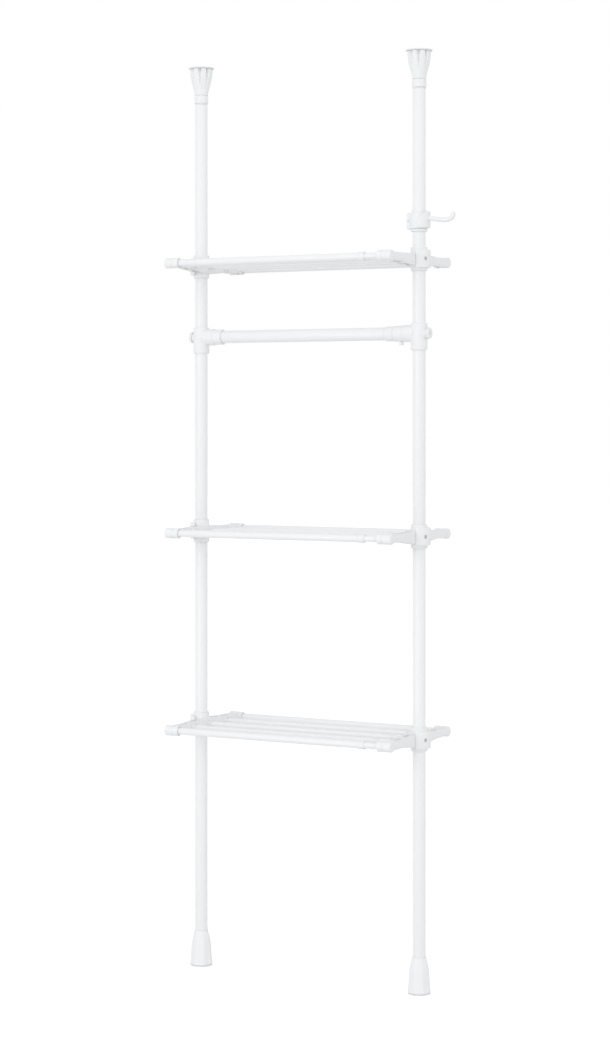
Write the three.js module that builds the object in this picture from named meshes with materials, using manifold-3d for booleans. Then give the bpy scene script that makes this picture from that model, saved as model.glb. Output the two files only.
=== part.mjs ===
// Tension pole shelf unit. Two poles are braced between floor and ceiling by a screw jack
// at the top of each. They carry three shelves of telescoping pipes, a telescoping
// hanging bar and a swivel hook, and all of these clamp to the poles at any height.
// Millimetres, +Z up. The origin is the middle of the left foot on the floor, +X runs to
// the right pole, and the front is towards -Y.
import * as THREE from "three";
import { mergeVertices } from "three/addons/utils/BufferGeometryUtils.js";
import Module from "manifold-3d";

const wasm = await Module();
wasm.setup();

// Whole unit
const overallHeight = 2300;
const poleSpacing = 620;
const telescopeTravel = 250;
const leastOverlap = 60;
const fit = 0.3;
const turnFit = 0.5;
const overrun = 2;

// Poles, each in two lengths that meet inside the middle shelf's collar, just above its middle
const poleDiameter = 32;
const poleWall = 1.2;
const poleSplitRise = 4;
const spigotLength = 120;
const spigotWall = 1.5;

// Feet
const footDiameter = 57.5;
const footTopDiameter = 35;
const footHeight = 86;
const footSocketDepth = 72;
const footFluteCount = 8;
const footFluteDepth = 1.8;
const footPadDiameter = 55;
const footPadThickness = 3;
const footPadChamfer = 0.8;

// Ceiling caps and their screw jacks
const capRimDiameter = 58;
const capNeckDiameter = 34;
const capFlareHeight = 65;
const capRimHeight = 3;
const capFluteCount = 8;
const capFluteDepth = 5;
const capFluteStartShare = 0.42;
const capFluteWidthShare = 0.78;
const ceilingPadDiameter = 65;
const ceilingPadThickness = 3;
const ceilingPadChamfer = 0.8;
const stemDiameter = 14;
const stemLength = 110;
const adjusterDiameter = 35.5;
const adjusterHeight = 20;
const adjusterGripCount = 12;
const adjusterGripDepth = 0.8;
const adjusterChamfer = 1.2;
const jackFlangeHeight = 3;
const jackPlugLength = 32;

// Shelves
const shelfDepth = 342;
const topShelfDrop = 510;
const middleShelfDrop = 676;
const bottomShelfDrop = 494;
const railDiameter = 18;
const railWall = 1.2;
const innerRailDiameter = 15;
const slatCount = 3;
const slatDiameter = 13;
const slatWall = 1.2;
const innerSlatDiameter = 10;
const innerRailShown = 35;
const tieThickness = 3;
const tieHeight = 8;
const railSleeveDiameter = 21;
const railSleeveLength = 17;
const railSleeveLip = 4;

// Shelf arms
const lobeDiameter = 26;
const lobeChamfer = 2;
const lobeOuterReach = 6;
const armOuterReach = 4;
const armSocketReach = 32;
const armFingerLength = 8;
const armFingerDiameter = 16.4;
const armEndHeight = 20;
const armMiddleHeight = 44;
const armTaperShare = 0.62;
const armEdgeChamfer = 1.5;
const armPocketLength = 40;
const armPocketWidth = 13;
const armPocketWall = 4;
const socketDepth = 12;

// Collars and their clamps
const collarWall = 4.2;
const collarHeight = 58;
const clampThickness = 7.6;
const clampHeight = 43;
const clampSpread = 148;
const clampChamfer = 1.5;
const screwLean = 30;
const screwHeadDiameter = 8.4;
const screwHeadHeight = 3.2;
const screwShankDiameter = 5;
const screwRecessDepth = 5;

// Hanging bar, below the top shelf
const barDrop = 181;
const barTubeDiameter = 32;
const barTubeWall = 1.2;
const barJointRise = 25;
const barJointDrop = 41;
const barFirstRingDiameter = 42;
const barFirstRingEnd = 42;
const barSecondRingDiameter = 39;
const barSecondRingEnd = 66;
const barRingChamfer = 1.2;
const barSeatGap = 3;
const barSleeveDiameter = 36.5;
const barSleeveLength = 22;
const barSleeveLip = 5;
const knobDiameter = 28;
const knobThickness = 7;
const knobChamfer = 1.4;
const knobGripCount = 8;
const knobGripDepth = 1.1;
const knobBossDiameter = 22;
const knobBossLength = 2.5;
const knobShankDiameter = 6;
const knobRecessDiameter = 12;
const knobRecessDepth = 3;
const thumbDiameter = 12;
const thumbHeight = 7;
const thumbGripCount = 6;
const thumbGripDepth = 0.9;
const thumbChamfer = 0.8;
const thumbNeckLength = 1.5;
const thumbShankDiameter = 5;

// Hook, above the top shelf
const hookRise = 93;
const hookLinerWall = 1.8;
const hookLinerHeight = 52;
const hookLinerRim = 2.1;
const hookLinerRimHeight = 5.5;
const hookLinerSlot = 3;
const hookClampWall = 4;
const hookClampHeight = 40;
const hookClampChamfer = 1;
const hookLugReach = 31;
const hookLugThickness = 14;
const hookLugHeight = 40;
const hookLugSlot = 2.4;
const hookArmDiameter = 11;
const hookArmReach = 97;
const hookArmDip = 5;
const hookTipRise = 19;
const hookBendRun = 26;
const hookPlateRise = 22;
const hookPlateDrop = 17;
const hookPlateThickness = 4;
const hookPlateFrontSpread = 72;
const hookPlateBackSpread = 32;
const hookPlateCutPlace = 9;
const hookPlateCutLean = 54;
const hookScrewDiameter = 5;
const hookScrewHeadDiameter = 9;
const hookScrewHeadHeight = 3;

// Facets of the round forms
const poleSides = 16;
const barSides = 16;
const railSides = 10;
const slatSides = 8;
const lobeSides = 12;
const stemSides = 12;
const screwSides = 8;
const hookRodSteps = 9;
const gripSteps = 2;
const capFluteSteps = 4;

// Finishes
const paintedSteel = { color: 0xf1f2f3, roughness: 0.35, metalness: 0 };
const whitePlastic = { color: 0xeff0f1, roughness: 0.5, metalness: 0 };
const paleRubber = { color: 0xc9cbcc, roughness: 0.85, metalness: 0 };
const zincSteel = { color: 0x8d9094, roughness: 0.4, metalness: 1 };

// Sizes that follow from those above
const poleRadius = poleDiameter / 2;
const poleBore = poleRadius - poleWall;
const poleSeat = poleRadius + fit;
const collarRadius = poleSeat + collarWall;
const topShelfHeight = overallHeight - topShelfDrop;
const middleShelfHeight = topShelfHeight - middleShelfDrop;
const bottomShelfHeight = middleShelfHeight - bottomShelfDrop;
const barHeight = topShelfHeight - barDrop;
const hookHeight = topShelfHeight + hookRise;
const poleSplitHeight = middleShelfHeight + poleSplitRise;
const railOffset = (shelfDepth - lobeDiameter) / 2;
const slatPitch = (2 * railOffset) / (slatCount + 1);
const tieStart = armSocketReach - socketDepth;
const railSleeveEnd = poleSpacing - armSocketReach - innerRailShown;
const outerRailEnd = railSleeveEnd - railSleeveLip;
const innerRailEnd = armSocketReach + innerRailShown + leastOverlap + telescopeTravel;
const footBase = footPadThickness + fit;
const poleFoot = footBase + footHeight - footSocketDepth + fit;
const capTop = overallHeight - ceilingPadThickness - fit;
const capNeckHeight = capTop - capRimHeight - capFlareHeight;
const adjusterTop = capNeckHeight - fit;
const adjusterBottom = adjusterTop - adjusterHeight;
const flangeTop = adjusterBottom - fit;
const poleTop = flangeTop - jackFlangeHeight - fit;
const stemSeat = stemDiameter / 2 + fit;
const barTubeRadius = barTubeDiameter / 2;
const innerBarRadius = barTubeRadius - barTubeWall - fit;
const barTubeStart = collarRadius + barSeatGap;
const barSleeveEnd = poleSpacing - barSecondRingEnd - fit;
const outerBarEnd = barSleeveEnd - barSleeveLip;
const innerBarEnd = barSecondRingEnd + fit + leastOverlap + telescopeTravel;
const clampInner = collarRadius + fit;
const clampOuter = clampInner + clampThickness;

// A solid from a closed geometry, or from a form that already is one
function toSolid(form) {
  if (!form.isBufferGeometry) return form;
  const bare = form.index ? form.toNonIndexed() : form.clone();
  bare.deleteAttribute("normal");
  bare.deleteAttribute("uv");
  const merged = mergeVertices(bare, fit / 1000);
  const vertProperties = merged.attributes.position.array;
  const triVerts = new Uint32Array(merged.index.array);
  return new wasm.Manifold(new wasm.Mesh({ numProp: 3, vertProperties, triVerts }));
}

function toGeometry(form) {
  const mesh = toSolid(form).getMesh();
  const geometry = new THREE.BufferGeometry();
  const places = Float32Array.from(mesh.vertProperties);
  geometry.setAttribute("position", new THREE.BufferAttribute(places, mesh.numProp));
  geometry.setIndex(new THREE.BufferAttribute(Uint32Array.from(mesh.triVerts), 1));
  return geometry;
}

function joined(forms) {
  return forms.map(toSolid).reduce((whole, piece) => whole.add(piece));
}

function without(form, cutters) {
  return toSolid(form).subtract(joined(cutters));
}

// A profile of [radius, height] points turned about Z, from axis to axis
function turned(profile, sides) {
  const points = profile.map(([radius, height]) => new THREE.Vector2(radius, height));
  return new THREE.LatheGeometry(points, sides).rotateX(Math.PI / 2);
}

// The same for a ring, whose profile runs anticlockwise and closes on itself
function turnedRing(profile, sides) {
  return turned([...profile, profile[0]], sides);
}

function rod(radius, bottom, top, sides) {
  return turned([[0, bottom], [radius, bottom], [radius, top], [0, top]], sides);
}

function tube(inner, outer, bottom, top, sides) {
  return turnedRing([[inner, bottom], [outer, bottom], [outer, top], [inner, top]], sides);
}

function chamferedRod(radius, bottom, top, chamfer, sides) {
  const edge = radius - chamfer;
  const profile = [[0, bottom], [edge, bottom], [radius, bottom + chamfer], [radius, top - chamfer], [edge, top], [0, top]];
  return turned(profile, sides);
}

// Turns the Z axis of a form onto the X axis
function alongX(geometry) {
  return geometry.rotateY(Math.PI / 2);
}

// Turns a form that stands on the Z axis to point out, away from the other pole
function outwards(geometry) {
  return alongX(geometry).rotateZ(Math.PI);
}

// A wall between two rings or more of as many points each, closed at both ends
function lofted(rings) {
  const count = rings[0].length;
  const last = rings.length - 1;
  const centre = (ring) => ring.reduce((sum, point) => sum.add(point), new THREE.Vector3()).divideScalar(count);
  const points = [...rings.flat(), centre(rings[0]), centre(rings[last])];
  const faces = [];
  for (let level = 0; level < last; level += 1) {
    for (let step = 0; step < count; step += 1) {
      const next = (step + 1) % count;
      const low = level * count;
      const high = low + count;
      faces.push(low + step, low + next, high + next, low + step, high + next, high + step);
    }
  }
  for (let step = 0; step < count; step += 1) {
    const next = (step + 1) % count;
    faces.push(points.length - 2, next, step);
    faces.push(points.length - 1, last * count + step, last * count + next);
  }
  const geometry = new THREE.BufferGeometry().setFromPoints(points);
  geometry.setIndex(faces);
  return geometry;
}

// A ring of points whose radius drops in flutes, each a V that is open over a share of its pitch
function flutedRing(radius, height, flutes, depth, openShare) {
  const total = flutes.count * flutes.steps;
  return Array.from({ length: total }, (_, index) => {
    const share = (index % flutes.steps) / flutes.steps;
    const distance = Math.abs(share - 1 / 2) * 2;
    const drop = openShare > 0 ? Math.max(0, 1 - distance / openShare) * depth : 0;
    const angle = (index / total) * 2 * Math.PI;
    return new THREE.Vector3((radius - drop) * Math.cos(angle), (radius - drop) * Math.sin(angle), height);
  });
}

// A disc with grip flutes round its edge and both edges chamfered
function grippedDisc(radius, bottom, top, chamfer, count, depth) {
  const grips = { count, steps: gripSteps };
  return lofted([
    flutedRing(radius, bottom, grips, depth, 1),
    flutedRing(radius, top - chamfer, grips, depth, 1),
    flutedRing(radius - chamfer, top, grips, depth, 1),
  ]);
}

// A flat outline extruded with chamfered edges, which keep inside the outline
function extruded(shape, depth, chamfer, curveSegments) {
  return new THREE.ExtrudeGeometry(shape, {
    depth: depth - 2 * chamfer,
    bevelEnabled: chamfer > 0,
    bevelThickness: chamfer,
    bevelSize: chamfer,
    bevelOffset: -chamfer,
    bevelSegments: 1,
    curveSegments,
  }).translate(0, 0, chamfer);
}

// Lays an outline drawn in depth and height, and its extrusion, along X
function standAlongX(geometry) {
  const basis = new THREE.Matrix4().makeBasis(
    new THREE.Vector3(0, 1, 0),
    new THREE.Vector3(0, 0, 1),
    new THREE.Vector3(1, 0, 0),
  );
  return geometry.applyMatrix4(basis);
}

// Turns a form that lies along X to the way that the clamp screws point, out and to the front
function leant(geometry) {
  return geometry.rotateZ(Math.PI + THREE.MathUtils.degToRad(screwLean));
}

// Poles
function lowerPole() {
  return tube(poleBore, poleRadius, poleFoot, poleSplitHeight, poleSides);
}

function upperPole() {
  return tube(poleBore, poleRadius, poleSplitHeight + fit, poleTop, poleSides);
}

function poleSpigot() {
  const outer = poleBore - fit;
  const bottom = poleSplitHeight - spigotLength / 2;
  return tube(outer - spigotWall, outer, bottom, bottom + spigotLength, poleSides);
}

// Foot: a bell with shallow flutes that spread from its top, and a deep socket for the pole
function foot() {
  const levelShares = [[0, 1], [0.15, 0.93], [0.3, 0.83], [0.58, 0.69], [0.78, 0.43], [0.92, 0.14], [1, 0]];
  const flutes = { count: footFluteCount, steps: gripSteps };
  const spread = (footDiameter - footTopDiameter) / 2;
  const rings = levelShares.map(([rise, share]) => {
    const radius = footTopDiameter / 2 + spread * share;
    return flutedRing(radius, footBase + rise * footHeight, flutes, footFluteDepth * share, 1);
  });
  const socket = rod(poleSeat, poleFoot - fit, footBase + footHeight + overrun, poleSides);
  return without(lofted(rings), [socket]);
}

function footPad() {
  const radius = footPadDiameter / 2;
  const edge = radius - footPadChamfer;
  const profile = [[0, 0], [edge, 0], [radius, footPadChamfer], [radius, footPadThickness], [0, footPadThickness]];
  return turned(profile, poleSides);
}

// Screw jack
function jackSocket() {
  const plugRadius = poleBore - fit;
  const plugBottom = flangeTop - jackFlangeHeight - jackPlugLength;
  const profile = [
    [stemSeat, plugBottom], [plugRadius, plugBottom], [plugRadius, flangeTop - jackFlangeHeight],
    [poleRadius, flangeTop - jackFlangeHeight], [poleRadius, flangeTop], [stemSeat, flangeTop],
  ];
  return turnedRing(profile, poleSides);
}

function adjusterRing() {
  const body = grippedDisc(
    adjusterDiameter / 2, adjusterBottom, adjusterTop, adjusterChamfer, adjusterGripCount, adjusterGripDepth,
  );
  return without(body, [rod(stemSeat, adjusterBottom - overrun, adjusterTop + overrun, stemSides)]);
}

// Ceiling cap: a trumpet whose V flutes open from nothing at the neck to their full width at the rim
function ceilingCap() {
  const flareShares = [[0, 0], [0.2, 0.16], [0.34, 0.37], [0.5, 0.6], [0.67, 0.81], [0.85, 0.95], [1, 1]];
  const flutes = { count: capFluteCount, steps: capFluteSteps };
  const spread = (capRimDiameter - capNeckDiameter) / 2;
  const openingAt = (rise) => Math.max(0, (rise - capFluteStartShare) / (1 - capFluteStartShare));
  const rings = flareShares.map(([rise, share]) => {
    const radius = capNeckDiameter / 2 + spread * share;
    const open = openingAt(rise);
    const height = capNeckHeight + rise * capFlareHeight;
    return flutedRing(radius, height, flutes, capFluteDepth * open, capFluteWidthShare * open);
  });
  rings.push(flutedRing(capRimDiameter / 2, capTop, flutes, capFluteDepth, capFluteWidthShare));
  const stem = rod(stemDiameter / 2, capNeckHeight - stemLength, capNeckHeight + capFlareHeight / 2, stemSides);
  return joined([lofted(rings), stem]);
}

function ceilingPad() {
  const radius = ceilingPadDiameter / 2;
  return chamferedRod(radius, overallHeight - ceilingPadThickness, overallHeight, ceilingPadChamfer, poleSides);
}

// Shelf arm: a comb of sockets on a beam that swells towards the collar round the pole
function armBeam() {
  const endHalf = armEndHeight / 2;
  const middleHalf = armMiddleHeight / 2;
  const taperStart = railOffset * armTaperShare;
  const corners = [
    [-railOffset, -endHalf], [-taperStart, -endHalf], [-collarRadius, -middleHalf],
    [collarRadius, -middleHalf], [taperStart, -endHalf], [railOffset, -endHalf],
    [railOffset, endHalf], [taperStart, endHalf], [collarRadius, middleHalf],
    [-collarRadius, middleHalf], [-taperStart, endHalf], [-railOffset, endHalf],
  ];
  const shape = new THREE.Shape(corners.map(([depth, height]) => new THREE.Vector2(depth, height)));
  const beam = extruded(shape, armOuterReach + armSocketReach - armFingerLength, armEdgeChamfer, 1);
  return standAlongX(beam).translate(-armOuterReach, 0, 0);
}

function armPocket(side) {
  const half = armPocketWidth / 2;
  const run = armPocketLength - armPocketWidth;
  const shape = new THREE.Shape();
  shape.absarc(0, 0, half, Math.PI, 2 * Math.PI, false);
  shape.absarc(0, run, half, 0, Math.PI, false);
  const near = collarRadius + armPocketWall + half;
  const height = armMiddleHeight + 2 * overrun;
  const pocket = extruded(shape, height, 0, 3).translate(0, near, -height / 2);
  const across = tieStart - armPocketWall - half;
  return side > 0 ? pocket.translate(across, 0, 0) : pocket.rotateZ(Math.PI).translate(across, 0, 0);
}

function slatOffsets() {
  return Array.from({ length: slatCount }, (_, index) => (index + 1) * slatPitch - railOffset);
}

function shelfArm() {
  const lobeRadius = lobeDiameter / 2;
  const pieces = [armBeam(), rod(collarRadius, -collarHeight / 2, collarHeight / 2, poleSides)];
  for (const offset of [-railOffset, railOffset]) {
    const lobe = turned([
      [0, -lobeOuterReach], [lobeRadius - lobeChamfer, -lobeOuterReach], [lobeRadius, lobeChamfer - lobeOuterReach],
      [lobeRadius, armSocketReach], [0, armSocketReach],
    ], lobeSides);
    pieces.push(alongX(lobe).translate(0, offset, 0));
  }
  for (const offset of slatOffsets()) {
    pieces.push(alongX(rod(armFingerDiameter / 2, armOuterReach, armSocketReach, slatSides)).translate(0, offset, 0));
  }
  const mouth = armSocketReach + overrun;
  const cutters = [rod(poleSeat, -collarHeight, collarHeight, poleSides), armPocket(-1), armPocket(1)];
  for (const offset of [-railOffset, railOffset]) {
    cutters.push(alongX(rod(railDiameter / 2 + fit, tieStart - fit, mouth, railSides)).translate(0, offset, 0));
  }
  for (const offset of slatOffsets()) {
    cutters.push(alongX(rod(slatDiameter / 2 + fit, tieStart - fit, mouth, slatSides)).translate(0, offset, 0));
  }
  const channelHeight = lobeDiameter / 2 + overrun + tieHeight / 2 + fit;
  const channel = new THREE.BoxGeometry(tieThickness + 2 * fit, 2 * (railOffset + fit), channelHeight);
  cutters.push(channel.translate(tieStart + tieThickness / 2, 0, tieHeight / 2 + fit - channelHeight / 2));
  cutters.push(leant(alongX(rod(screwShankDiameter / 2 + fit, poleRadius / 2, clampInner, screwSides))));
  return without(joined(pieces), cutters);
}

// Clamp: a curved shell on the collar's outer side, with a recess for its screw's head
function shelfClamp() {
  const half = THREE.MathUtils.degToRad(clampSpread / 2);
  const shape = new THREE.Shape();
  shape.absarc(0, 0, clampOuter, Math.PI - half, Math.PI + half, false);
  shape.absarc(0, 0, clampInner, Math.PI + half, Math.PI - half, true);
  const shell = extruded(shape, clampHeight, clampChamfer, 5).translate(0, 0, -clampHeight / 2);
  const hole = rod(screwShankDiameter / 2 + fit, poleRadius, clampOuter + overrun, screwSides);
  const recess = rod(screwHeadDiameter / 2 + fit, clampOuter - screwRecessDepth, clampOuter + overrun, screwSides);
  return without(shell, [leant(alongX(hole)), leant(alongX(recess))]);
}

function clampScrew() {
  const seat = clampOuter - screwRecessDepth + fit;
  const headEnd = seat + screwHeadHeight;
  const shank = screwShankDiameter / 2;
  const head = screwHeadDiameter / 2;
  const profile = [[0, poleSeat], [shank, poleSeat], [shank, seat], [head, seat], [head, headEnd], [0, headEnd]];
  return leant(alongX(turned(profile, screwSides)));
}

// Deck: pipes whose ends are joined by a flat tie, which lies in the arm's channel
function deck(railRadius, slatRadius, wall, end) {
  const tie = new THREE.BoxGeometry(tieThickness, 2 * railOffset, tieHeight);
  const pieces = [tie.translate(tieStart + tieThickness / 2, 0, 0)];
  for (const offset of [-railOffset, railOffset]) {
    const pipe = tube(railRadius - wall.rail, railRadius, tieStart, end, railSides);
    pieces.push(alongX(pipe).translate(0, offset, 0));
  }
  for (const offset of slatOffsets()) {
    const pipe = tube(slatRadius - wall.slat, slatRadius, tieStart, end, slatSides);
    pieces.push(alongX(pipe).translate(0, offset, 0));
  }
  return joined(pieces);
}

function outerDeck() {
  return deck(railDiameter / 2, slatDiameter / 2, { rail: railWall, slat: slatWall }, outerRailEnd);
}

function innerDeck() {
  return deck(innerRailDiameter / 2, innerSlatDiameter / 2, { rail: railWall, slat: slatWall }, innerRailEnd);
}

function railSleeve(offset) {
  const outer = railSleeveDiameter / 2;
  const start = railSleeveEnd - railSleeveLength;
  const step = outerRailEnd + fit;
  const seat = railDiameter / 2 + fit;
  const lip = innerRailDiameter / 2 + fit;
  const profile = [[seat, start], [outer, start], [outer, railSleeveEnd], [lip, railSleeveEnd], [lip, step], [seat, step]];
  return alongX(turnedRing(profile, railSides)).translate(0, offset, 0);
}

// Bar joint: a collar on the pole, a stepped socket for the bar and a boss for the knob
function barJoint(tubeRadius) {
  const first = barFirstRingDiameter / 2;
  const second = barSecondRingDiameter / 2;
  const socket = turned([
    [0, 0], [first, poleSeat], [first, barFirstRingEnd], [second, barFirstRingEnd],
    [second, barSecondRingEnd - barRingChamfer], [second - barRingChamfer, barSecondRingEnd], [0, barSecondRingEnd],
  ], barSides);
  const bossEnd = collarRadius + knobBossLength;
  const boss = outwards(rod(knobBossDiameter / 2, poleSeat, bossEnd, barSides));
  const collar = rod(collarRadius, -barJointDrop, barJointRise, poleSides);
  const body = joined([collar, alongX(socket), boss]);
  const shank = outwards(rod(knobShankDiameter / 2 + fit, 0, bossEnd + overrun, screwSides));
  return without(body, [
    rod(poleSeat, -barJointDrop - overrun, barJointRise + overrun, poleSides),
    alongX(rod(tubeRadius + fit, barTubeStart - fit, barSecondRingEnd + overrun, barSides)),
    shank,
  ]);
}

function rightBarJoint() {
  const hole = rod(thumbShankDiameter / 2 + fit, -barSecondRingDiameter, 0, screwSides);
  return without(barJoint(innerBarRadius), [hole.translate(thumbPlace(), 0, 0)]);
}

// The thumb screw stands under the second ring of the right joint, close to the first one
function thumbPlace() {
  return barFirstRingEnd + thumbDiameter / 2;
}

function thumbScrew() {
  const top = -barSecondRingDiameter / 2 - thumbNeckLength;
  const head = grippedDisc(thumbDiameter / 2, top - thumbHeight, top, thumbChamfer, thumbGripCount, thumbGripDepth);
  const shank = rod(thumbShankDiameter / 2, top - thumbHeight / 2, -innerBarRadius - fit, screwSides);
  return joined([head.translate(thumbPlace(), 0, 0), shank.translate(thumbPlace(), 0, 0)]);
}

function barKnob() {
  const start = collarRadius + knobBossLength + fit;
  const end = start + knobThickness;
  const disc = grippedDisc(knobDiameter / 2, start, end, knobChamfer, knobGripCount, knobGripDepth);
  const shank = rod(knobShankDiameter / 2, poleSeat, start + knobThickness / 2, screwSides);
  const recess = rod(knobRecessDiameter / 2, end - knobRecessDepth, end + overrun, poleSides);
  return without(joined([outwards(disc), outwards(shank)]), [outwards(recess)]);
}

function outerBarTube() {
  return alongX(tube(barTubeRadius - barTubeWall, barTubeRadius, barTubeStart, outerBarEnd, barSides));
}

function innerBarTube() {
  return alongX(tube(innerBarRadius - barTubeWall, innerBarRadius, barTubeStart, innerBarEnd, barSides));
}

function barSleeve() {
  const outer = barSleeveDiameter / 2;
  const start = barSleeveEnd - barSleeveLength;
  const step = outerBarEnd + fit;
  const seat = barTubeRadius + fit;
  const lip = innerBarRadius + fit;
  const profile = [
    [seat, start], [outer - barRingChamfer, start], [outer, start + barRingChamfer],
    [outer, barSleeveEnd - barRingChamfer], [outer - barRingChamfer, barSleeveEnd], [lip, barSleeveEnd],
    [lip, step], [seat, step],
  ];
  return alongX(turnedRing(profile, barSides));
}

// Hook: a slit liner grips the pole, a lugged clamp turns on it, and the hook's plate hugs the clamp
function hookLiner() {
  const outer = poleSeat + hookLinerWall;
  const half = hookLinerHeight / 2;
  const rim = outer + hookLinerRim;
  const profile = [
    [poleSeat, -half], [rim, -half], [rim, -half + hookLinerRimHeight], [outer, -half + hookLinerRimHeight],
    [outer, half], [poleSeat, half],
  ];
  const slot = new THREE.BoxGeometry(2 * rim, hookLinerSlot, hookLinerHeight + 2 * overrun);
  return without(turnedRing(profile, poleSides), [slot.translate(-rim - poleSeat / 2, 0, 0)]);
}

function hookClampInner() {
  return poleSeat + hookLinerWall + turnFit;
}

function hookClampOuter() {
  return hookClampInner() + hookClampWall;
}

function hookClamp() {
  const half = hookClampHeight / 2;
  const ring = rod(hookClampOuter(), -half, half, poleSides);
  const lugRun = hookLugReach;
  const lug = new THREE.BoxGeometry(lugRun, hookLugThickness, hookLugHeight).translate(-lugRun / 2, 0, 0);
  const slot = new THREE.BoxGeometry(lugRun, hookLugSlot, hookClampHeight + 2 * overrun);
  const bore = rod(hookClampInner(), -half - overrun, half + overrun, poleSides);
  const screwHole = rod(hookScrewDiameter / 2 + fit, -hookLugThickness, hookLugThickness, screwSides);
  return without(joined([ring, lug]), [
    bore,
    slot.translate(-hookClampInner() / 2 - lugRun / 2, 0, 0),
    screwHole.rotateX(Math.PI / 2).translate(-hookScrewPlace(), 0, 0),
  ]);
}

// The lug's screw stands halfway between the clamp's wall and the end of the lug
function hookScrewPlace() {
  return (hookClampOuter() + hookLugReach) / 2;
}

function hookScrew() {
  const end = hookLugThickness / 2;
  const seat = hookLugThickness / 2 + fit;
  const shank = hookScrewDiameter / 2;
  const head = hookScrewHeadDiameter / 2;
  const profile = [
    [0, -end], [shank, -end], [shank, seat], [head, seat], [head, seat + hookScrewHeadHeight],
    [0, seat + hookScrewHeadHeight],
  ];
  return turned(profile, screwSides).rotateX(-Math.PI / 2).translate(-hookScrewPlace(), 0, 0);
}

// The hook's rod dips a little on its way out, then bends up to a round tip
function hookRod() {
  const start = hookClampOuter() + fit + hookPlateThickness / 2;
  const bendStart = hookArmReach - hookBendRun;
  const path = new THREE.CurvePath();
  const bend = new THREE.CubicBezierCurve3(
    new THREE.Vector3(bendStart, 0, 0),
    new THREE.Vector3(bendStart + hookBendRun / 2, 0, 0),
    new THREE.Vector3(hookArmReach - hookArmDiameter / 2, 0, hookTipRise / 3),
    new THREE.Vector3(hookArmReach - hookArmDiameter / 2, 0, hookTipRise - hookArmDiameter / 2),
  );
  path.add(new THREE.CubicBezierCurve3(
    new THREE.Vector3(start, 0, hookArmDip),
    new THREE.Vector3((2 * start + bendStart) / 3, 0, hookArmDip),
    new THREE.Vector3((start + 2 * bendStart) / 3, 0, 0),
    new THREE.Vector3(bendStart, 0, 0),
  ));
  path.add(bend);
  const section = new THREE.Shape();
  section.absellipse(0, 0, hookArmDiameter / 2, hookArmDiameter / 2, 0, 2 * Math.PI);
  const rodForm = new THREE.ExtrudeGeometry(section, { extrudePath: path, steps: hookRodSteps, curveSegments: 4, bevelEnabled: false });
  const tip = new THREE.SphereGeometry(hookArmDiameter / 2, screwSides, 6);
  return [rodForm, tip.translate(hookArmReach - hookArmDiameter / 2, 0, hookTipRise - hookArmDiameter / 2)];
}

// Its plate hugs the clamp's outer side, and its upper front corner is cut off at a slant
function hookArm() {
  const inner = hookClampOuter() + fit;
  const outer = inner + hookPlateThickness;
  const front = -THREE.MathUtils.degToRad(hookPlateFrontSpread);
  const back = THREE.MathUtils.degToRad(hookPlateBackSpread);
  const shape = new THREE.Shape();
  shape.absarc(0, 0, outer, front, back, false);
  shape.absarc(0, 0, inner, back, front, true);
  const plate = extruded(shape, hookPlateRise + hookPlateDrop, hookClampChamfer, 6).translate(0, 0, -hookPlateDrop);
  const corner = new THREE.BoxGeometry(4 * outer, 4 * outer, 2 * outer).translate(0, 0, outer);
  corner.rotateY(-THREE.MathUtils.degToRad(hookPlateCutLean)).translate(hookPlateCutPlace, 0, 0);
  return joined([without(plate, [corner]), ...hookRod()]);
}

// Assembly
const unit = new THREE.Group();

function add(parent, name, form, finish) {
  const mesh = new THREE.Mesh(toGeometry(form), new THREE.MeshStandardMaterial(finish));
  mesh.name = name;
  parent.add(mesh);
}

// One side of the unit, seen from its pole: +X points inwards on both sides
function sideGroup(side, height) {
  const group = new THREE.Group();
  group.position.set(side === "left" ? 0 : poleSpacing, 0, height);
  group.scale.x = side === "left" ? 1 : -1;
  unit.add(group);
  return group;
}

function addPole(side) {
  const group = sideGroup(side, 0);
  add(group, `pole_lower_${side}`, lowerPole(), paintedSteel);
  add(group, `pole_upper_${side}`, upperPole(), paintedSteel);
  add(group, `pole_spigot_${side}`, poleSpigot(), zincSteel);
  add(group, `foot_${side}`, foot(), whitePlastic);
  add(group, `foot_pad_${side}`, footPad(), paleRubber);
  add(group, `jack_socket_${side}`, jackSocket(), whitePlastic);
  add(group, `adjuster_ring_${side}`, adjusterRing(), whitePlastic);
  add(group, `ceiling_cap_${side}`, ceilingCap(), whitePlastic);
  add(group, `ceiling_pad_${side}`, ceilingPad(), paleRubber);
}

function addShelf(shelf, height) {
  for (const side of ["left", "right"]) {
    const group = sideGroup(side, height);
    add(group, `${shelf}_shelf_arm_${side}`, shelfArm(), whitePlastic);
    add(group, `${shelf}_shelf_clamp_${side}`, shelfClamp(), whitePlastic);
    add(group, `${shelf}_shelf_screw_${side}`, clampScrew(), zincSteel);
  }
  const left = sideGroup("left", height);
  add(left, `${shelf}_shelf_outer_pipes`, outerDeck(), paintedSteel);
  add(left, `${shelf}_shelf_sleeve_front`, railSleeve(-railOffset), whitePlastic);
  add(left, `${shelf}_shelf_sleeve_back`, railSleeve(railOffset), whitePlastic);
  add(sideGroup("right", height), `${shelf}_shelf_inner_pipes`, innerDeck(), paintedSteel);
}

function addBar() {
  const left = sideGroup("left", barHeight);
  const right = sideGroup("right", barHeight);
  add(left, "bar_joint_left", barJoint(barTubeRadius), whitePlastic);
  add(left, "bar_knob_left", barKnob(), whitePlastic);
  add(left, "bar_outer_tube", outerBarTube(), paintedSteel);
  add(left, "bar_sleeve", barSleeve(), whitePlastic);
  add(right, "bar_joint_right", rightBarJoint(), whitePlastic);
  add(right, "bar_knob_right", barKnob(), whitePlastic);
  add(right, "bar_inner_tube", innerBarTube(), paintedSteel);
  add(right, "bar_thumb_screw", thumbScrew(), whitePlastic);
}

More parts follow.
